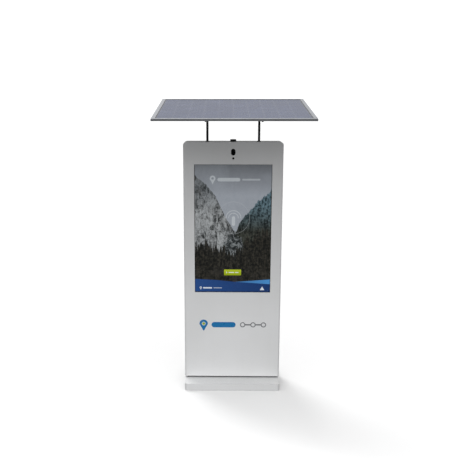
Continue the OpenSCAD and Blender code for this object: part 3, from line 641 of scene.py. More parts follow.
@dataclass(frozen=True)
class ScreenPicture:
    """The lit picture: a mountain valley under a grey sky, a tap ring, a green button and a blue footer.

    Places are in metres: x from the middle of the screen, z from the floor.
    """

    name: str = "screen_picture_light"
    middle_z: float = 1.1435
    lit_half: tuple[float, float] = (0.2625, 0.4475)
    soft: float = 0.0005
    rock_slope: Line = ((-0.265, 1.520), (-0.182, 1.450), (-0.120, 1.376), (-0.080, 1.292), (-0.040, 1.212),
                        (-0.005, 1.150), (0.040, 1.100), (0.265, 1.060))
    wood_slope: Line = ((-0.060, 0.900), (0.000, 1.060), (0.030, 1.146), (0.057, 1.206), (0.125, 1.286),
                        (0.182, 1.350), (0.265, 1.412))
    frosted_trees: Line = ((-0.265, 0.940), (-0.090, 1.000), (-0.030, 1.085), (0.015, 1.125), (0.055, 1.095),
                           (0.095, 1.000), (0.265, 0.930))
    dark_trees: Line = ((-0.265, 1.030), (-0.170, 1.048), (-0.080, 1.020), (-0.020, 0.985), (0.045, 0.990),
                        (0.085, 1.075), (0.265, 1.140))
    tree_edge: float = 0.003
    tap: tuple[float, float] = (0.004, 1.225)
    tap_ring: float = 0.1115
    ripples: tuple[float, float] = (0.033, 0.051)
    header_z: float = 1.490
    button: tuple[float, float] = (0.0, 0.836)
    footer_line: Line = ((-0.265, 0.788), (-0.120, 0.781), (0.020, 0.767), (0.265, 0.751))
    wedge_line: Line = ((0.010, 0.767), (0.120, 0.775), (0.265, 0.786))
    footer_mark_z: float = 0.7230

    def _slopes(self, draw: Canvas) -> bpy.types.NodeSocket:
        """Paints the sky, the pale rock slope and the wooded slope.

        Args:
            draw: the screen's plane.

        Returns:
            The colour.
        """
        graph, x, z = draw.graph, draw.x, draw.z
        haze = graph.noise(draw.where, 5.0, 4.0, 0.55, 0.6)
        sky = graph.mix(z.line(1.60, 1.38), srgb(88, 90, 94), srgb(146, 150, 158))
        picture = graph.mix(haze.ramp(0.35, 0.75, 0.0, 0.14), sky, srgb(176, 182, 190))
        slanted = graph.place((26.0, 26.0, 9.0), (0.0, math.radians(42.0), 0.0))
        rock = graph.noise(slanted, 1.0, 9.0, 0.72, 1.4)
        cracks = graph.noise(draw.where, 46.0, 8.0, 0.75, 0.8)
        lumps = graph.noise(graph.place((9.0, 9.0, 6.0), (0.0, math.radians(38.0), 0.0)), 1.0, 3.0, 0.6)
        relief = rock * 0.42 + cracks * 0.34 + lumps * 0.24
        pale_stone = graph.mix(z.line(1.42, 1.26), srgb(116, 120, 124), srgb(158, 160, 162))
        stone = graph.mix(relief.ramp(0.42, 0.57), srgb(38, 40, 40), pale_stone)
        brown = (x.line(-0.19, -0.265) * z.line(1.30, 1.44)) * cracks.ramp(0.45, 0.6)
        stone = graph.mix(brown * 0.7, stone, srgb(66, 58, 50))
        crags = (graph.noise(draw.where, 30.0, 6.0, 0.7) - 0.5) * 0.05
        picture = graph.mix(draw.below(draw.outline(self.rock_slope) + crags, 0.002), picture, stone)
        canopy = (draw.speckle(90.0, 20.0, 6.0, 0.7) * 0.45 + self._crowns(draw) * 0.55).ramp(0.40, 0.60)
        wood = graph.mix(canopy, srgb(24, 34, 38), srgb(98, 120, 130))
        shaded = graph.mix(canopy, srgb(22, 24, 23), srgb(66, 68, 62))
        wood = graph.mix(z.line(1.32, 1.13), wood, shaded)
        treetops = (draw.speckle(75.0, 12.0, 5.0, 0.7) - 0.5) * 0.095
        return graph.mix(draw.below(draw.outline(self.wood_slope) + treetops, self.tree_edge), picture, wood)

    def _crowns(self, draw: Canvas) -> Value:
        """Small round clumps of foliage."""
        return draw.graph.noise(draw.where, 60.0, 7.0, 0.72)

    def _trees(self, draw: Canvas, picture: bpy.types.NodeSocket) -> bpy.types.NodeSocket:
        """Paints the frosted trees, the dark trees before them and the ground.

        Args:
            draw: the screen's plane.
            picture: the colour behind.

        Returns:
            The colour.
        """
        graph = draw.graph
        cracks = graph.noise(draw.where, 46.0, 8.0, 0.75, 0.8)
        tips = draw.speckle(90.0, 9.0, 3.0, 0.6) - 0.5
        frosted = graph.mix(cracks.ramp(0.44, 0.62), srgb(34, 37, 38), srgb(126, 130, 132))
        middle = draw.outline(self.frosted_trees) + tips * 0.20
        picture = graph.mix(draw.below(middle, self.tree_edge), picture, frosted)
        foliage = draw.speckle(120.0, 14.0, 4.0, 0.6) * 0.3 + self._crowns(draw) * 0.7
        dark = graph.mix(foliage.ramp(0.42, 0.66), srgb(22, 23, 22), srgb(62, 59, 53))
        front = draw.outline(self.dark_trees) + tips * 0.30
        picture = graph.mix(draw.below(front, self.tree_edge), picture, dark)
        ground = graph.mix(cracks, srgb(36, 35, 33), srgb(78, 74, 68))
        low = (draw.z.line(0.92, 0.80) * graph.noise(draw.where, 16.0, 5.0, 0.6).ramp(0.45, 0.7)) * 0.6
        return graph.mix(low, picture, ground)

    def _header(self, draw: Canvas, picture: bpy.types.NodeSocket) -> bpy.types.NodeSocket:
        """Lays the tap ring with its finger and ripples, and the pin and bars above, over the picture.

        Args:
            draw: the screen's plane.
            picture: the colour so far.

        Returns:
            The colour.
        """
        graph, pale = draw.graph, srgb(188, 192, 196)
        tap_x, tap_z = self.tap
        reach = draw.reach(self.tap)
        finger = draw.block((tap_x, tap_z - 0.022), (0.0115, 0.034), 0.0115)
        above = (draw.z - tap_z).ramp(-0.004, 0.0)
        for radius in self.ripples:
            finger = finger.either(reach.near(radius, 0.0019, 0.0008).both(above))
        mark = draw.pin((-0.140, self.header_z + 0.008), 0.0195)
        mark = mark.either(draw.bar((-0.029, self.header_z), (0.078, 0.0120)))
        thin = draw.bar((0.124, self.header_z), (0.062, 0.0062))
        ring = reach.near(self.tap_ring, 0.0008, 0.0009)
        for mask, share in ((ring, 0.34), (finger, 0.72), (mark, 0.58), (thin, 0.42)):
            picture = graph.mix(mask * share, picture, pale)
        return picture

    def _button(self, draw: Canvas, picture: bpy.types.NodeSocket) -> bpy.types.NodeSocket:
        """Lays the green button with its arrow and blank bars over the picture.

        Args:
            draw: the screen's plane.
            picture: the colour so far.

        Returns:
            The colour.
        """
        graph = draw.graph
        x, z = self.button
        half_width, half_height = 0.060, 0.021
        green = graph.mix(draw.z.line(z - half_height, z + half_height), srgb(142, 158, 22), srgb(178, 192, 48))
        picture = graph.mix(draw.block(self.button, (half_width, half_height), 0.002), picture, green)
        from_back = draw.x - (x - 0.044)
        slant = abs(draw.z - z) * -0.9 + 0.0075
        arrow = (slant - from_back).ramp(-self.soft, self.soft).both(from_back.ramp(-self.soft, self.soft))
        words = draw.bar((x - 0.008, z), (0.020, 0.0030)).either(draw.bar((x + 0.030, z), (0.012, 0.0030)))
        return graph.mix(arrow.either(words) * 0.85, picture, srgb(226, 230, 236))

    def _footer(self, draw: Canvas, picture: bpy.types.NodeSocket) -> bpy.types.NodeSocket:
        """Lays the blue footer with its light wedge, small mark and triangle over the picture.

        Args:
            draw: the screen's plane.
            picture: the colour so far.

        Returns:
            The colour.
        """
        graph, low = draw.graph, self.footer_mark_z
        edge = self.lit_half[0]
        light = graph.mix(draw.x.line(0.0, edge), srgb(60, 104, 156), srgb(74, 138, 198))
        deep = graph.mix(draw.x.line(-edge, edge), srgb(42, 74, 130), srgb(30, 56, 104))
        picture = graph.mix(draw.below(draw.outline(self.wedge_line)), picture, light)
        picture = graph.mix(draw.below(draw.outline(self.footer_line)), picture, deep)
        mark = draw.pin((-0.224, low + 0.0025), 0.0075)
        mark = mark.either(draw.bar((-0.176, low), (0.032, 0.0050)))
        mark = mark.either(draw.bar((-0.104, low), (0.030, 0.0026)) * 0.7)
        sides = (abs(draw.x - 0.209) * -1.7 + (low + 0.0115 - draw.z)).ramp(-self.soft, self.soft)
        triangle = sides.both((draw.z - (low - 0.0155)).ramp(-self.soft, self.soft))
        return graph.mix(mark.either(triangle) * 0.85, picture, srgb(226, 230, 236))

    def build(self) -> bpy.types.Material:
        """Returns: the material."""
        material, graph, shader = new_material(self.name)
        draw = Canvas(graph, self.soft)
        picture = self._trees(draw, self._slopes(draw))
        for layer in (self._header, self._button, self._footer):
            picture = layer(draw, picture)
        # The dark rim between the lit area and the picture's edge is the display's unlit border and also painted
        # shade for the shadow of the screen's recess.
        lit = draw.block((0.0, self.middle_z), self.lit_half, 0.001)
        graph.fill(shader, Base_Color=(0.004, 0.004, 0.005), Emission_Color=graph.mix(lit, srgb(18, 18, 20), picture),
                   Emission_Strength=1.0, Roughness=0.6, Specular_IOR_Level=0.1)
        return material


class Finish(Enum):
    """Every finish used on the pay station, by the part of it that wears it."""

    WHITE_COAT = PowderCoat("white_powder_coat", srgb(233, 234, 235), srgb(176, 174, 168))
    # The plinth's own dark paint, made darker still as painted shade for the narrow gap between the body and the
    # base.
    PLINTH_COAT_DARKENED_AS_SHADE = PowderCoat("plinth_coat_darkened_as_shade", srgb(32, 34, 37), srgb(84, 82, 78), dust=0.35)
    BLACK_COAT = PowderCoat("satin_black_coat", srgb(24, 25, 27), srgb(70, 70, 70), 0.34, dust=0.12)
    ZINC = Metal("zinc_plated_sheet", srgb(190, 193, 196), srgb(150, 153, 150), 0.38)
    BRIGHT_STEEL = Metal("stainless_hardware", srgb(205, 206, 207), srgb(165, 166, 168), 0.24, depth=0.00001)
    DRAWN_STEEL = Metal("rolled_steel_case", srgb(196, 198, 200), srgb(160, 162, 164), 0.3, Lay.X)
    EXTRUSION_Z = Metal("upright_extrusion", srgb(198, 200, 203), srgb(172, 174, 178), 0.34, Lay.Z)
    EXTRUSION_X = Metal("cross_extrusion", srgb(198, 200, 203), srgb(172, 174, 178), 0.34, Lay.X)
    ROOF_FRAME = Metal("anodised_roof_frame", srgb(166, 168, 172), srgb(150, 152, 157), 0.5, Lay.X, metallic=0.35)
    RAIL = Metal("anodised_roof_rail", srgb(200, 202, 206), srgb(176, 178, 182), 0.36, Lay.Y)
    HEATSINK = Metal("black_anodised_heatsink", srgb(46, 48, 52), srgb(70, 72, 76), 0.4, Lay.Z)
    BLACK_PLASTIC = Moulded("black_moulded_plastic", srgb(27, 28, 30), srgb(52, 53, 56), 0.45)
    DOME_PLASTIC = Moulded("antenna_radome_plastic", srgb(22, 23, 25), srgb(40, 41, 44), 0.32, 2200.0, 0.00002)
    RUBBER = Moulded("epdm_rubber", srgb(20, 20, 21), srgb(44, 44, 44), 0.7, 900.0, 0.00008, 0.15)
    CABLE = Moulded("cable_jacket", srgb(30, 31, 34), srgb(60, 61, 64), 0.5, 1600.0, 0.00003)
    BATTERY = Moulded("battery_case_plastic", srgb(38, 44, 58), srgb(66, 72, 86), 0.48, 1100.0, 0.00007)
    CONTROLLER = Moulded("controller_housing", srgb(34, 62, 92), srgb(60, 86, 112), 0.42, 1200.0, 0.00006)
    GREY_PLASTIC = Moulded("grey_terminal_plastic", srgb(150, 153, 156), srgb(120, 122, 124), 0.5)
    WHITE_PLASTIC = Moulded("white_breaker_plastic", srgb(226, 226, 222), srgb(196, 195, 188), 0.42, 1800.0, 0.00003)
    RED_PLASTIC = Moulded("red_switch_plastic", srgb(178, 30, 26), srgb(128, 24, 22), 0.38, 1800.0, 0.00003)
    FILTER = Moulded("filter_mat", srgb(206, 206, 200), srgb(158, 156, 148), 0.95, 520.0, 0.0006, 0.4)
    DARK_GLASS = Moulded("smoked_acrylic", srgb(9, 10, 12), srgb(16, 17, 20), 0.07, 60.0, 0.0)
    DISPLAY_CASE = DisplayCase(-0.0685)
    GREEN_LIGHT = StatusLight("green_status_light", srgb(60, 220, 110))
    AMBER_LIGHT = StatusLight("amber_status_light", srgb(255, 176, 50))
    BATTERY_LABEL = PlainLabel("battery_label_film", srgb(40, 90, 150), 0.0125)
    CASE_LABEL = PlainLabel("case_label_film", srgb(90, 94, 98), 0.0055)
    BLUE_VINYL = Moulded("blue_cut_vinyl", srgb(36, 120, 178), srgb(60, 136, 190), 0.3, 2600.0, 0.00001)
    GREY_VINYL = Moulded("grey_cut_vinyl", srgb(112, 114, 117), srgb(128, 130, 132), 0.3, 2600.0, 0.00001)
    GREEN_VINYL = Moulded("green_cut_vinyl", srgb(156, 180, 44), srgb(170, 190, 70), 0.3, 2600.0, 0.00001)
    GLASS = ClearGlass()
    PICTURE = ScreenPicture()

    def material(self) -> bpy.types.Material:
        """Returns: the finish's material, built the first time."""
        return bpy.data.materials.get(self.value.name) or self.value.build()


# ---- making pieces ---------------------------------------------------------------------------


class Arris(Enum):
    """How sharp the outer edges of a piece are: bevel width in metres, and its segments."""

    SHEET = (0.0004, 2)
    TURNED = (0.0003, 2)
    CAST = (0.0008, 3)
    CUT = (0.0002, 1)

    def soften(self, obj: bpy.types.Object) -> None:
        """Adds the modifiers that join flat faces, round edges and keep the flats flat.

        Args:
            obj: the piece.
        """
        weld = obj.modifiers.new("join", "WELD")
        weld.merge_threshold = JOIN_GAP
        flats = obj.modifiers.new("flats", "DECIMATE")
        flats.decimate_type, flats.angle_limit = "DISSOLVE", FLAT_ANGLE
        edge = obj.modifiers.new("arris", "BEVEL")
        edge.width, edge.segments = self.value
        edge.limit_method, edge.angle_limit = "ANGLE", ARRIS_ANGLE
        edge.harden_normals = True
        level = obj.modifiers.new("level", "WEIGHTED_NORMAL")
        level.weight, level.keep_sharp = FLATS_WEIGHT, True


def carry(nodes: str, finish: Finish | bpy.types.Material, arris: Arris = Arris.SHEET) -> None:
    """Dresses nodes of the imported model, and breaks their sharp edges.

    Args:
        nodes: their names, with spaces between.
        finish: their finish, or a material.
        arris: how far their edges are broken.
    """
    for node in nodes.split():
        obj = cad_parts[node]
        obj.data.materials.clear()
        obj.data.materials.append(finish.material() if isinstance(finish, Finish) else finish)
        for name in ("custom_normal", "sharp_edge", "sharp_face"):
            stored = obj.data.attributes.get(name)
            if stored:
                obj.data.attributes.remove(stored)
        obj.data.shade_smooth()
        arris.soften(obj)
        LOG.info("carried %s as %s", node, obj.data.materials[0].name)


def piece(name: str, mesh: bmesh.types.BMesh, body: str, finish: Finish,
          smooth: bool = True) -> None:
    """Turns a bmesh into a piece that rides on a body.

    Args:
        name: the piece's name.
        mesh: its shape, in the model's frame; it is freed.
        body: the body it rides on.
        finish: its finish.
        smooth: True to shade it smooth.
    """
    bmesh.ops.remove_doubles(mesh, verts=mesh.verts, dist=DOUBLE_GAP)
    bmesh.ops.recalc_face_normals(mesh, faces=mesh.faces)
    data = bpy.data.meshes.new(name)
    mesh.to_mesh(data)
    mesh.free()
    if smooth:
        data.shade_smooth()
    data.materials.append(finish.material())
    obj = bpy.data.objects.new(name, data)
    bpy.context.scene.collection.objects.link(obj)
    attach(obj, body)
    LOG.info("made %s: %d faces on %s", name, len(data.polygons), body)


def add_block(mesh: bmesh.types.BMesh, low: Sequence[float], high: Sequence[float], edge: float) -> None:
    """Adds a box with chamfered edges.

    Args:
        mesh: the bmesh to add to.
        low: lowest corner.
        high: highest corner.
        edge: size of the chamfer.
    """
    size = [b - a for a, b in zip(low, high)]
    centre = [(a + b) / 2 for a, b in zip(low, high)]
    made = bmesh.ops.create_cube(mesh, size=1.0, matrix=Matrix.LocRotScale(centre, None, size))["verts"]
    edges = list({e for v in made for e in v.link_edges})
    bmesh.ops.bevel(mesh, geom=edges, offset=edge, affect="EDGES", segments=1, profile=0.5, material=-1)


def add_pad(mesh: bmesh.types.BMesh, centre: Sequence[float], half: tuple[float, float], corner: float,
            thickness: float) -> None:
    """Adds a thin pad that stands on the plane y = centre[1] and faces -Y, with rounded corners.

    Args:
        mesh: the bmesh to add to.
        centre: middle of its back.
        half: half its width and height.
        corner: corner radius.
        thickness: how far it stands towards -Y.
    """
    made = bmesh.ops.create_cube(mesh, size=1.0, matrix=Matrix.LocRotScale(
        (centre[0], centre[1] - thickness / 2, centre[2]), None, (2 * half[0], thickness, 2 * half[1])))["verts"]
    upright = [e for e in {e for v in made for e in v.link_edges}
               if abs(e.verts[0].co.y - e.verts[1].co.y) > thickness / 2]
    bmesh.ops.bevel(mesh, geom=upright, offset=corner * 0.999, affect="EDGES", segments=6, profile=0.5, material=-1)


def add_disc(mesh: bmesh.types.BMesh, centre: Sequence[float], radius: float, length: float, axis: str,
             sides: int = 32, top: float | None = None) -> None:
    """Adds a round bar or cone that starts at centre and runs along an axis.

    Args:
        mesh: the bmesh to add to.
        centre: middle of its first end.
        radius: radius of its first end.
        length: length along the axis, with a sign.
        axis: "X", "Y" or "Z".
        sides: sides of the round.
        top: radius of the far end, the same as the first if None.
    """
    turn = {"X": Matrix.Rotation(math.radians(90), 4, "Y"), "Y": Matrix.Rotation(math.radians(-90), 4, "X"),
            "Z": Matrix.Identity(4)}[axis]
    place = Matrix.Translation(centre) @ turn @ Matrix.Translation((0, 0, length / 2))
    bmesh.ops.create_cone(mesh, cap_ends=True, segments=sides, radius1=radius,
                          radius2=radius if top is None else top, depth=abs(length), matrix=place)


def add_ring(mesh: bmesh.types.BMesh, centre: Sequence[float], radius: float, wire: float, axis: str,
             steps: int = 48, sides: int = 8) -> None:
    """Adds a wire ring, spun round an axis through its centre.

    Args:
        mesh: the bmesh to add to.
        centre: centre of the ring.
        radius: radius to the wire's middle.
        wire: radius of the wire.
        axis: the axis it is spun round, "Y" or "Z".
        steps: steps round the ring.
        sides: sides of the wire.
    """
    about = Vector((0, 1, 0)) if axis == "Y" else Vector((0, 0, 1))
    start = Matrix.Translation(Vector(centre) + Vector((radius, 0, 0)))
    stand = Matrix.Identity(4) if axis == "Y" else Matrix.Rotation(math.radians(90), 4, "X")
    made = bmesh.ops.create_circle(mesh, cap_ends=False, segments=sides, radius=wire, matrix=start @ stand)["verts"]
    edges = list({e for v in made for e in v.link_edges})
    bmesh.ops.spin(mesh, geom=made + edges, cent=centre, axis=about, angle=math.tau, steps=steps,
                   use_merge=True, use_duplicate=False)


# ---- sub-assemblies --------------------------------------------------------------------------


@dataclass
class Cabinet:
    """The white sheet-metal body, its base cover and what bolts it to the ground plate."""

    def build(self) -> None:
        """Dresses the sheet metal."""
        carry("cabinet_shell front_fascia base_cover_front base_cover_rear", Finish.WHITE_COAT, Arris.CAST)
        # The plinth's coat carries painted shade for the gap above the base.
        carry("plinth_frame", Finish.PLINTH_COAT_DARKENED_AS_SHADE)
        carry("ground_plate", Finish.ZINC)
        carry("cover_screws cabinet_bolts", Finish.BRIGHT_STEEL, Arris.TURNED)
        carry("cable_gland", Finish.BLACK_PLASTIC, Arris.TURNED)
        carry("chassis_rails", Finish.EXTRUSION_Z)
        carry("chassis_beams", Finish.EXTRUSION_X)


@dataclass
class FrontMark:
    """A plain mark in cut vinyl on the lower front: a map pin, a bar and a line of three stops."""

    face_y: float = -0.080
    film: float = 0.00015
    middle_z: float = 0.452
    pin_x: float = -0.204
    pin_radius: float = 0.030
    pin_lift: float = 0.008
    pin_hole: float = 0.45
    pin_taper: tuple[float, float] = (0.42, 1.6)
    pin_stretch: tuple[float, float] = (0.75, 3)
    dot: float = 0.32
    bar: tuple[float, float, float] = (-0.062, 0.086, 0.0200)
    link: float = 0.0045
    stops: tuple[float, float, float] = (0.074, 0.148, 0.222)
    stop_radius: float = 0.0190
    stop_hole: float = 0.66

    def _stop(self, mesh: bmesh.types.BMesh, x: float) -> None:
        """Adds one flat ring of the line of stops.

        Args:
            mesh: the bmesh to add to.
            x: middle of the ring.
        """
        turn = Matrix.Translation((x, self.face_y - self.film / 2, self.middle_z)) @ Matrix.Rotation(
            math.radians(90), 4, "X")
        loops = [bmesh.ops.create_circle(mesh, cap_ends=False, segments=40, radius=r, matrix=turn)["verts"]
                 for r in (self.stop_radius, self.stop_radius * self.stop_hole)]
        edges = list({e for loop in loops for v in loop for e in v.link_edges})
        faces = bmesh.ops.bridge_loops(mesh, edges=edges)["faces"]
        back = bmesh.ops.extrude_face_region(mesh, geom=faces)["geom"]
        verts = [g for g in back if isinstance(g, bmesh.types.BMVert)]
        bmesh.ops.translate(mesh, verts=verts, vec=(0, self.film / 2, 0))

    def _pin(self) -> bmesh.types.BMesh:
        """Returns: the ring and point of the map pin."""
        mesh = bmesh.new()
        centre = Vector((self.pin_x, self.face_y, self.middle_z + self.pin_lift))
        outer, inner = (bmesh.ops.create_circle(mesh, cap_ends=False, segments=48, radius=radius)["verts"]
                        for radius in (self.pin_radius, self.pin_radius * self.pin_hole))
        tip = min(outer, key=lambda v: v.co.y)
        for vert in outer:
            if vert.co.y < 0:
                share = -vert.co.y / self.pin_radius
                vert.co.x *= 1.0 - self.pin_taper[0] * share ** self.pin_taper[1]
                vert.co.y *= 1.0 + self.pin_stretch[0] * share ** self.pin_stretch[1]
        tip.co.x = 0.0
        bmesh.ops.bridge_loops(mesh, edges=list({e for v in outer + inner for e in v.link_edges}))
        bmesh.ops.solidify(mesh, geom=mesh.faces[:], thickness=self.film)
        bmesh.ops.transform(mesh, matrix=Matrix.Rotation(math.radians(90), 4, "X"), verts=mesh.verts)
        low = max(v.co.y for v in mesh.verts)
        bmesh.ops.translate(mesh, verts=mesh.verts, vec=centre - Vector((0, low, 0)))
        return mesh

    def build(self) -> None:
        """Builds the film pieces and lays them on the front."""
        piece("front_mark_pin", self._pin(), "cabinet", Finish.BLUE_VINYL, smooth=False)
        dot = bmesh.new()
        add_disc(dot, (self.pin_x, self.face_y, self.middle_z + self.pin_lift), self.pin_radius * self.dot,
                 -self.film, "Y")
        piece("front_mark_dot", dot, "cabinet", Finish.GREEN_VINYL, smooth=False)
        bar = bmesh.new()
        add_pad(bar, (self.bar[0], self.face_y, self.middle_z), self.bar[1:], self.bar[2], self.film)
        piece("front_mark_bar", bar, "cabinet", Finish.BLUE_VINYL, smooth=False)
        line = bmesh.new()
        for x in self.stops:
            self._stop(line, x)
        for left, right in zip(self.stops, self.stops[1:]):
            add_pad(line, ((left + right) / 2, self.face_y, self.middle_z),
                    ((right - left) / 2 - self.stop_radius, self.link), 0.0002, self.film)
        piece("front_mark_line", line, "cabinet", Finish.GREY_VINYL, smooth=False)


@dataclass
class TouchScreen:
    """The glass, the display behind it and the camera and light sensor above."""

    picture_low: tuple[float, float] = (-0.2655, 0.693)
    picture_high: tuple[float, float] = (0.2655, 1.594)
    film: float = 0.0004
    lens_z: float = 1.688
    lens_radius: float = 0.0088

    def _lens(self) -> None:
        """Sets the camera's bezel and its domed glass in the dark window."""
        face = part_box("camera_window")[0].y
        bezel, glass = bmesh.new(), bmesh.new()
        add_ring(bezel, (0.0, face, self.lens_z), self.lens_radius, 0.0006, "Y")
        piece("camera_bezel", bezel, "cabinet", Finish.HEATSINK)
        add_disc(glass, (0.0, face + 0.0002, self.lens_z), self.lens_radius * 0.62, -0.0007, "Y", 48,
                 self.lens_radius * 0.42)
        piece("camera_lens", glass, "cabinet", Finish.DARK_GLASS)

    def build(self) -> None:
        """Builds the picture and dresses the rest."""
        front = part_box("display_module")[0].y
        mesh = bmesh.new()
        add_block(mesh, (self.picture_low[0], front - self.film, self.picture_low[1]),
                  (self.picture_high[0], front, self.picture_high[1]), self.film * 0.3)
        piece("screen_picture", mesh, "cabinet", Finish.PICTURE, smooth=False)
        self._lens()
        carry("touch_glass", Finish.GLASS, Arris.SHEET)
        carry("glass_gasket", Finish.RUBBER)
        carry("glass_clamp_frame", Finish.EXTRUSION_Z)
        carry("display_module", Finish.DISPLAY_CASE)
        carry("display_bars", Finish.ZINC)
        carry("camera_window sensor_window", Finish.DARK_GLASS, Arris.CUT)
        carry("camera_module", Finish.BLACK_PLASTIC, Arris.TURNED)


@dataclass
class SolarRoof:
    """The tilting solar module on its two posts."""

    tilt: float = math.radians(8.75)
    pivot_z: float = 1.918
    cells: tuple[int, int] = (10, 6)
    cell_field: tuple[float, float] = (0.485, 0.379)
    offset: float = 0.0076
    glass: float = 0.0043
    glass_lift: float = 0.0474
    frame_half: tuple[float, float] = (0.518, 0.412)
    frame_top: float = 0.050
    frame_lip: float = 0.025
    seam: tuple[float, float] = (0.0007, 0.00012)

    def _seams(self) -> None:
        """Draws the mitre joint at each corner of the module's frame as a fine dark line."""
        mesh = bmesh.new()
        wide, tall = self.seam
        long = self.frame_lip * math.sqrt(2.0) - 0.002
        lie = Matrix.Translation((0, 0, self.pivot_z)) @ Matrix.Rotation(self.tilt, 4, "X")
        for side_x in (-1, 1):
            for side_v in (-1, 1):
                middle = (side_x * (self.frame_half[0] - self.frame_lip / 2),
                          self.offset + side_v * (self.frame_half[1] - self.frame_lip / 2), self.frame_top)
                turn = Matrix.Rotation(math.radians(45.0 * side_x * side_v), 4, "Z")
                made = bmesh.ops.create_cube(mesh, size=1.0)["verts"]
                bmesh.ops.scale(mesh, vec=(long, wide, tall), verts=made)
                bmesh.ops.transform(mesh, matrix=lie @ Matrix.Translation(middle) @ turn, verts=made)
        piece("roof_frame_seams", mesh, "solar_module", Finish.RUBBER, smooth=False)

    def build(self) -> None:
        """Dresses the module, its rails and the posts."""
        self._seams()
        cells = SolarCells(self.tilt, self.pivot_z, self.offset, self.cell_field, self.cells,
                           self.glass_lift - self.glass / 2)
        carry("solar_laminate", cells.build())
        carry("panel_frame", Finish.ROOF_FRAME)
        carry("panel_rails", Finish.RAIL)
        carry("panel_junction_box", Finish.BLACK_PLASTIC)
        carry("panel_leads", Finish.CABLE, Arris.CUT)
        carry("panel_bolts pivot_bolts post_collars", Finish.BRIGHT_STEEL, Arris.TURNED)
        carry("tilt_brackets", Finish.ZINC)
        carry("support_posts", Finish.BLACK_COAT, Arris.TURNED)
        carry("post_heads", Finish.BLACK_COAT)
        carry("post_seals", Finish.RUBBER, Arris.TURNED)
        carry("antenna_dome", Finish.DOME_PLASTIC, Arris.TURNED)


@dataclass
class RearDoor:
    """The rear door with its hinges, locks, seal, fans and filters."""

    skin_y: float = 0.080
    vent_x: float = 0.066
    vent_rows: tuple[float, float] = (0.193, 1.491)
    row_pitch: float = 0.015
    rows: int = 9
    hood_half: float = 0.047
    hood_rise: float = 0.0075
    hood_depth: float = 0.0048
    hood_sheet: float = 0.0008
    hood_drop: float = 0.0030
    fan_z: float = 1.551
    guard_y: float = 0.0414
    guard_wire: float = 0.0009
    guard_rings: tuple[float, ...] = (0.0160, 0.0275, 0.0390, 0.0505)
    guard_reach: float = 0.0720
    spoke: float = 1.2
    spoke_seat: float = 1.6

    def _hood(self) -> bmesh.types.BMesh:
        """Returns: one pressed louvre hood, open below, centred on its slot's top edge."""
        mesh = bmesh.new()
        turn = Matrix.Rotation(math.radians(90), 4, "Y")
        bmesh.ops.create_uvsphere(mesh, u_segments=12, v_segments=8, radius=1.0, matrix=turn)
        middle = [e for e in mesh.edges if all(abs(v.co.x) < 0.001 for v in e.verts)]
        bmesh.ops.split_edges(mesh, edges=middle)
        stretch = self.hood_half - self.hood_depth
        for side in (-1, 1):
            half = {v for f in mesh.faces if f.calc_center_median().x * side > 0 for v in f.verts}
            bmesh.ops.scale(mesh, vec=(self.hood_depth, self.hood_depth, self.hood_rise), verts=list(half))
            bmesh.ops.translate(mesh, vec=(side * stretch, 0, 0), verts=list(half))
        rims = [e for e in mesh.edges if e.is_boundary]
        bmesh.ops.bridge_loops(mesh, edges=rims)
        for normal in ((0, -1, 0), (0, 0, -1)):
            bmesh.ops.bisect_plane(mesh, geom=mesh.verts[:] + mesh.edges[:] + mesh.faces[:], dist=0.000001,
                                   plane_co=(0, 0, 0), plane_no=normal, clear_outer=True)
        bmesh.ops.recalc_face_normals(mesh, faces=mesh.faces)
        bmesh.ops.solidify(mesh, geom=mesh.faces[:], thickness=self.hood_sheet)
        return mesh

    def _louvres(self) -> None:
        """Presses a hood over every slot of both vents."""
        mesh = self._hood()
        first = mesh.verts[:] + mesh.edges[:] + mesh.faces[:]
        for low in self.vent_rows:
            for row in range(self.rows):
                for side in (-1, 1):
                    made = bmesh.ops.duplicate(mesh, geom=first)["geom"]
                    verts = [g for g in made if isinstance(g, bmesh.types.BMVert)]
                    place = (side * self.vent_x, self.skin_y, low + row * self.row_pitch - self.hood_drop)
                    bmesh.ops.translate(mesh, vec=place, verts=verts)
        bmesh.ops.delete(mesh, geom=[g for g in first if isinstance(g, bmesh.types.BMVert)], context="VERTS")
        piece("door_louvre_hoods", mesh, "door", Finish.WHITE_COAT)

    def _guards(self) -> None:
        """Bends a wire finger guard in front of each fan."""
        mesh = bmesh.new()
        for side in (-1, 1):
            centre = Vector((side * self.vent_x, self.guard_y, self.fan_z))
            for radius in self.guard_rings:
                add_ring(mesh, centre, radius, self.guard_wire, "Y", 40, 6)
            for angle in (45, 135, 225, 315):
                way = Vector((math.cos(math.radians(angle)), 0, math.sin(math.radians(angle))))
                aim = Vector((0, 0, 1)).rotation_difference(way).to_matrix().to_4x4()
                span = self.guard_reach - self.guard_rings[0]
                start = centre + Vector((0, self.guard_wire * self.spoke_seat, 0))
                start += way * (self.guard_rings[0] + span / 2)
                wire = self.guard_wire * self.spoke
                bmesh.ops.create_cone(mesh, cap_ends=True, segments=8, radius1=wire, radius2=wire, depth=span,
                                      matrix=Matrix.Translation(start) @ aim)
        piece("fan_finger_guards", mesh, "door", Finish.BRIGHT_STEEL)

    def build(self) -> None:
        """Dresses the door and what it carries."""
        self._louvres()
        self._guards()
        carry("rear_door", Finish.WHITE_COAT)
        carry("door_seal", Finish.RUBBER)
        carry("hinge_frame_leaves hinge_door_leaves hinge_pins lock_housings lock_cam_upper lock_cam_lower",
              Finish.BRIGHT_STEEL, Arris.TURNED)
        carry("fan_housings", Finish.BLACK_PLASTIC)
        carry("fan_rotor_left fan_rotor_right", Finish.BLACK_PLASTIC, Arris.TURNED)
        carry("fan_filters", Finish.FILTER)


@dataclass(frozen=True)
class Light:
    """A status light on the face of a case."""

    case: str
    x: float
    z: float
    finish: Finish


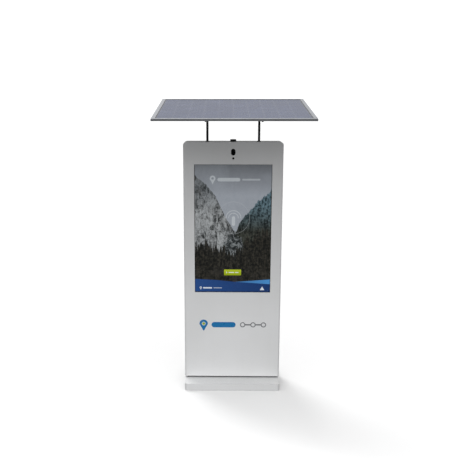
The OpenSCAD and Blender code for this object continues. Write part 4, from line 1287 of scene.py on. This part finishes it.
@dataclass
class Equipment:
    """The plate behind the door with batteries, charger, computer, router and breakers."""

    label: float = 0.0002
    vent_count: int = 7
    vent_pitch: float = 0.0070
    vent_radius: float = 0.0026
    vent_rise: float = 0.866
    vent_inset: tuple[float, float] = (0.0003, 0.00045)
    lens: tuple[float, float] = (0.0016, 0.0011)
    lights: tuple[Light, ...] = (
        Light("cellular_router", 0.074, 0.618, Finish.GREEN_LIGHT),
        Light("cellular_router", 0.082, 0.618, Finish.GREEN_LIGHT),
        Light("cellular_router", 0.090, 0.618, Finish.AMBER_LIGHT),
        Light("power_supply", -0.034, 0.618, Finish.GREEN_LIGHT))

    def _lights(self) -> None:
        """Sets small domed lenses in the cases."""
        for finish, name in ((Finish.GREEN_LIGHT, "green_status_lights"),
                             (Finish.AMBER_LIGHT, "amber_status_lights")):
            mesh = bmesh.new()
            for light in self.lights:
                if light.finish is finish:
                    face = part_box(light.case)[1].y
                    add_disc(mesh, (light.x, face, light.z), *self.lens, "Y", 16, self.lens[1])
            piece(name, mesh, "cabinet", finish)

    def _labels(self) -> None:
        """Sticks plain labels on the batteries and on the cases of supply, router and display."""
        packs = bmesh.new()
        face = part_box("battery_packs")[1].y
        for x in (-0.108, 0.108):
            add_pad(packs, (x, face + self.label, 0.146), (0.070, 0.030), 0.004, self.label)
        piece("battery_labels", packs, "cabinet", Finish.BATTERY_LABEL, smooth=False)
        cases = bmesh.new()
        for case, x, z, half in (("power_supply", -0.150, 0.585, (0.052, 0.026)),
                                 ("cellular_router", 0.135, 0.592, (0.026, 0.014)),
                                 ("display_module", 0.0, 1.090, (0.027, 0.015))):
            add_pad(cases, (x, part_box(case)[1].y + self.label, z), half, 0.002, self.label)
        piece("case_labels", cases, "cabinet", Finish.CASE_LABEL, smooth=False)

    def _vents(self, name: str, case: str, corners: Sequence[tuple[float, float]]) -> None:
        """Punches fields of small hexagons in a lid, as dark insets.

        Args:
            name: name of the new piece.
            case: the CAD node whose rear face is punched.
            corners: x and z of the first hole of each field.
        """
        mesh = bmesh.new()
        sink, depth = self.vent_inset
        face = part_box(case)[1].y
        for left, low in corners:
            for row in range(self.vent_count):
                for column in range(self.vent_count):
                    x = left + column * self.vent_pitch + (row % 2) * self.vent_pitch / 2
                    add_disc(mesh, (x, face - sink, low + row * self.vent_pitch * self.vent_rise),
                             self.vent_radius, depth, "Y", 6)
        piece(name, mesh, "cabinet", Finish.BLACK_PLASTIC, smooth=False)

    def build(self) -> None:
        """Dresses the equipment."""
        self._lights()
        self._labels()
        self._vents("power_supply_vents", "power_supply", [(-0.084, 0.566)])
        self._vents("display_cover_vents", "display_module", [(-0.080, 1.155), (-0.080, 1.090), (0.034, 1.155),
                                                              (0.034, 1.090)])
        carry("equipment_plate battery_clamp", Finish.ZINC)
        carry("battery_tray cellular_router", Finish.BLACK_PLASTIC)
        carry("battery_packs", Finish.BATTERY, Arris.CAST)
        carry("charge_controller", Finish.CONTROLLER)
        carry("media_player", Finish.HEATSINK)
        carry("player_button", Finish.WHITE_PLASTIC, Arris.TURNED)
        carry("power_supply", Finish.DRAWN_STEEL)
        carry("din_rail", Finish.BRIGHT_STEEL)
        carry("breaker_body", Finish.WHITE_PLASTIC)
        carry("breaker_levers", Finish.BLACK_PLASTIC, Arris.TURNED)
        carry("terminal_blocks isolator_body", Finish.GREY_PLASTIC)
        carry("isolator_knob", Finish.RED_PLASTIC, Arris.TURNED)
        carry("wiring_harness", Finish.CABLE, Arris.CUT)


@dataclass
class Studio:
    """Floor, light and camera."""

    place: Point = (-0.0600, -4.3909, 2.0037)
    pitch: float = math.radians(78.06)
    yaw: float = math.radians(0.88)
    lens: float = 48.26
    shift: float = 0.0473
    floor_tone: float = 0.940
    dim: float = 0.140
    bright: float = 1.04
    card: float = 0.36
    dim_below: float = math.radians(20.0)
    bright_above: float = math.radians(38.0)
    sun_strength: float = 1.1
    sun_angle: float = math.radians(24.0)
    sun_height: float = math.radians(52.0)
    sun_side: float = math.radians(30.0)
    fill_place: Point = (-0.2, -1.75, 0.22)
    fill_size: tuple[float, float] = (2.2, 0.36)
    fill_power: float = 15.0
    backdrop: float = 1.2
    card_leak: float = 0.04
    card_top: tuple[float, float] = (-0.02, 0.06)
    card_side: tuple[float, float] = (-0.35, -0.15)

    def build_floor(self) -> None:
        """Lays a wide pale floor, which lights nothing by itself."""
        mesh = bmesh.new()
        bmesh.ops.create_grid(mesh, x_segments=4, y_segments=4, size=60.0)
        data = bpy.data.meshes.new("floor")
        mesh.to_mesh(data)
        mesh.free()
        floor = bpy.data.objects.new("floor", data)
        bpy.context.scene.collection.objects.link(floor)
        material, graph, shader = new_material("studio_floor")
        mottle = graph.noise(graph.place(), 2.0, 2.0)
        tone = graph.mix(mottle, (self.floor_tone,) * 3, (self.floor_tone * 1.01,) * 3)
        graph.fill(shader, Base_Color=tone, Roughness=1.0, Specular_IOR_Level=0.0)
        data.materials.append(material)
        floor.visible_diffuse = floor.visible_glossy = floor.visible_transmission = False

    def build_light(self) -> None:
        """Sets a sky that is bright overhead and dim at the horizon, and a soft sun from behind left."""
        world = bpy.data.worlds.new("studio")
        bpy.context.scene.world = world
        world.use_nodes = True
        world.node_tree.nodes.clear()
        graph = Graph(world.node_tree)
        _, ahead, height = graph.axes(graph.node("ShaderNodeTexCoord").outputs["Generated"])
        level = height.ramp(math.sin(self.dim_below), math.sin(self.bright_above), self.dim, self.bright)
        path = graph.node("ShaderNodeLightPath").outputs
        camera = Value(graph, path["Is Camera Ray"])
        gloss = Value(graph, path["Is Glossy Ray"]).either(Value(graph, path["Is Transmission Ray"]))
        flag = height.line(*self.card_top, 1.0, 0.0).both(ahead.line(*self.card_side, 1.0, 0.0))
        card = level.either(height.ramp(-0.5, 0.5, self.card * 0.6, self.card))
        card = card * flag.line(0.0, 1.0, 1.0, self.card_leak)
        level = level * gloss.flip() + card * gloss
        strength = level * camera.flip() + camera * self.backdrop
        sky = graph.node("ShaderNodeBackground", {"Color": (1.0, 1.0, 1.0), "Strength": strength})
        graph.feed(graph.node("ShaderNodeOutputWorld").inputs["Surface"], sky.outputs[0])
        sun = bpy.data.lights.new("sun", "SUN")
        sun.energy, sun.angle = self.sun_strength, self.sun_angle
        lamp = bpy.data.objects.new("sun", sun)
        bpy.context.scene.collection.objects.link(lamp)
        travel = Vector((math.sin(self.sun_side) * math.cos(self.sun_height),
                         -math.cos(self.sun_side) * math.cos(self.sun_height), -math.sin(self.sun_height)))
        lamp.rotation_mode = "QUATERNION"
        lamp.rotation_quaternion = travel.to_track_quat("-Z", "Y")
        fill = bpy.data.lights.new("low_fill", "AREA")
        fill.shape, fill.size, fill.size_y, fill.energy = "RECTANGLE", *self.fill_size, self.fill_power
        low = bpy.data.objects.new("low_fill", fill)
        bpy.context.scene.collection.objects.link(low)
        low.location = self.fill_place
        low.rotation_euler = (math.radians(90.0), 0.0, 0.0)
        low.visible_glossy = low.visible_transmission = low.visible_camera = False
        bpy.context.scene.view_settings.view_transform = "Standard"

    def build_camera(self) -> None:
        """Sets the camera a little left of the middle, at eye height and above, looking down."""
        camera = bpy.data.cameras.new("camera")
        camera.sensor_width, camera.lens, camera.shift_x = 36.0, self.lens, self.shift
        camera.clip_end = 200.0
        holder = bpy.data.objects.new("camera", camera)
        bpy.context.scene.collection.objects.link(holder)
        holder.location = self.place
        holder.rotation_euler = (self.pitch, 0.0, self.yaw)
        bpy.context.scene.camera = holder


def main() -> None:
    """Builds and dresses every sub-assembly, then the studio round them."""
    logging.basicConfig(level=logging.INFO, format="%(name)s: %(message)s")
    studio = Studio()
    studio.build_camera()
    studio.build_floor()
    studio.build_light()
    for assembly in (Cabinet(), FrontMark(), TouchScreen(), SolarRoof(), RearDoor(), Equipment()):
        assembly.build()


if __name__ == "__main__":
    main()
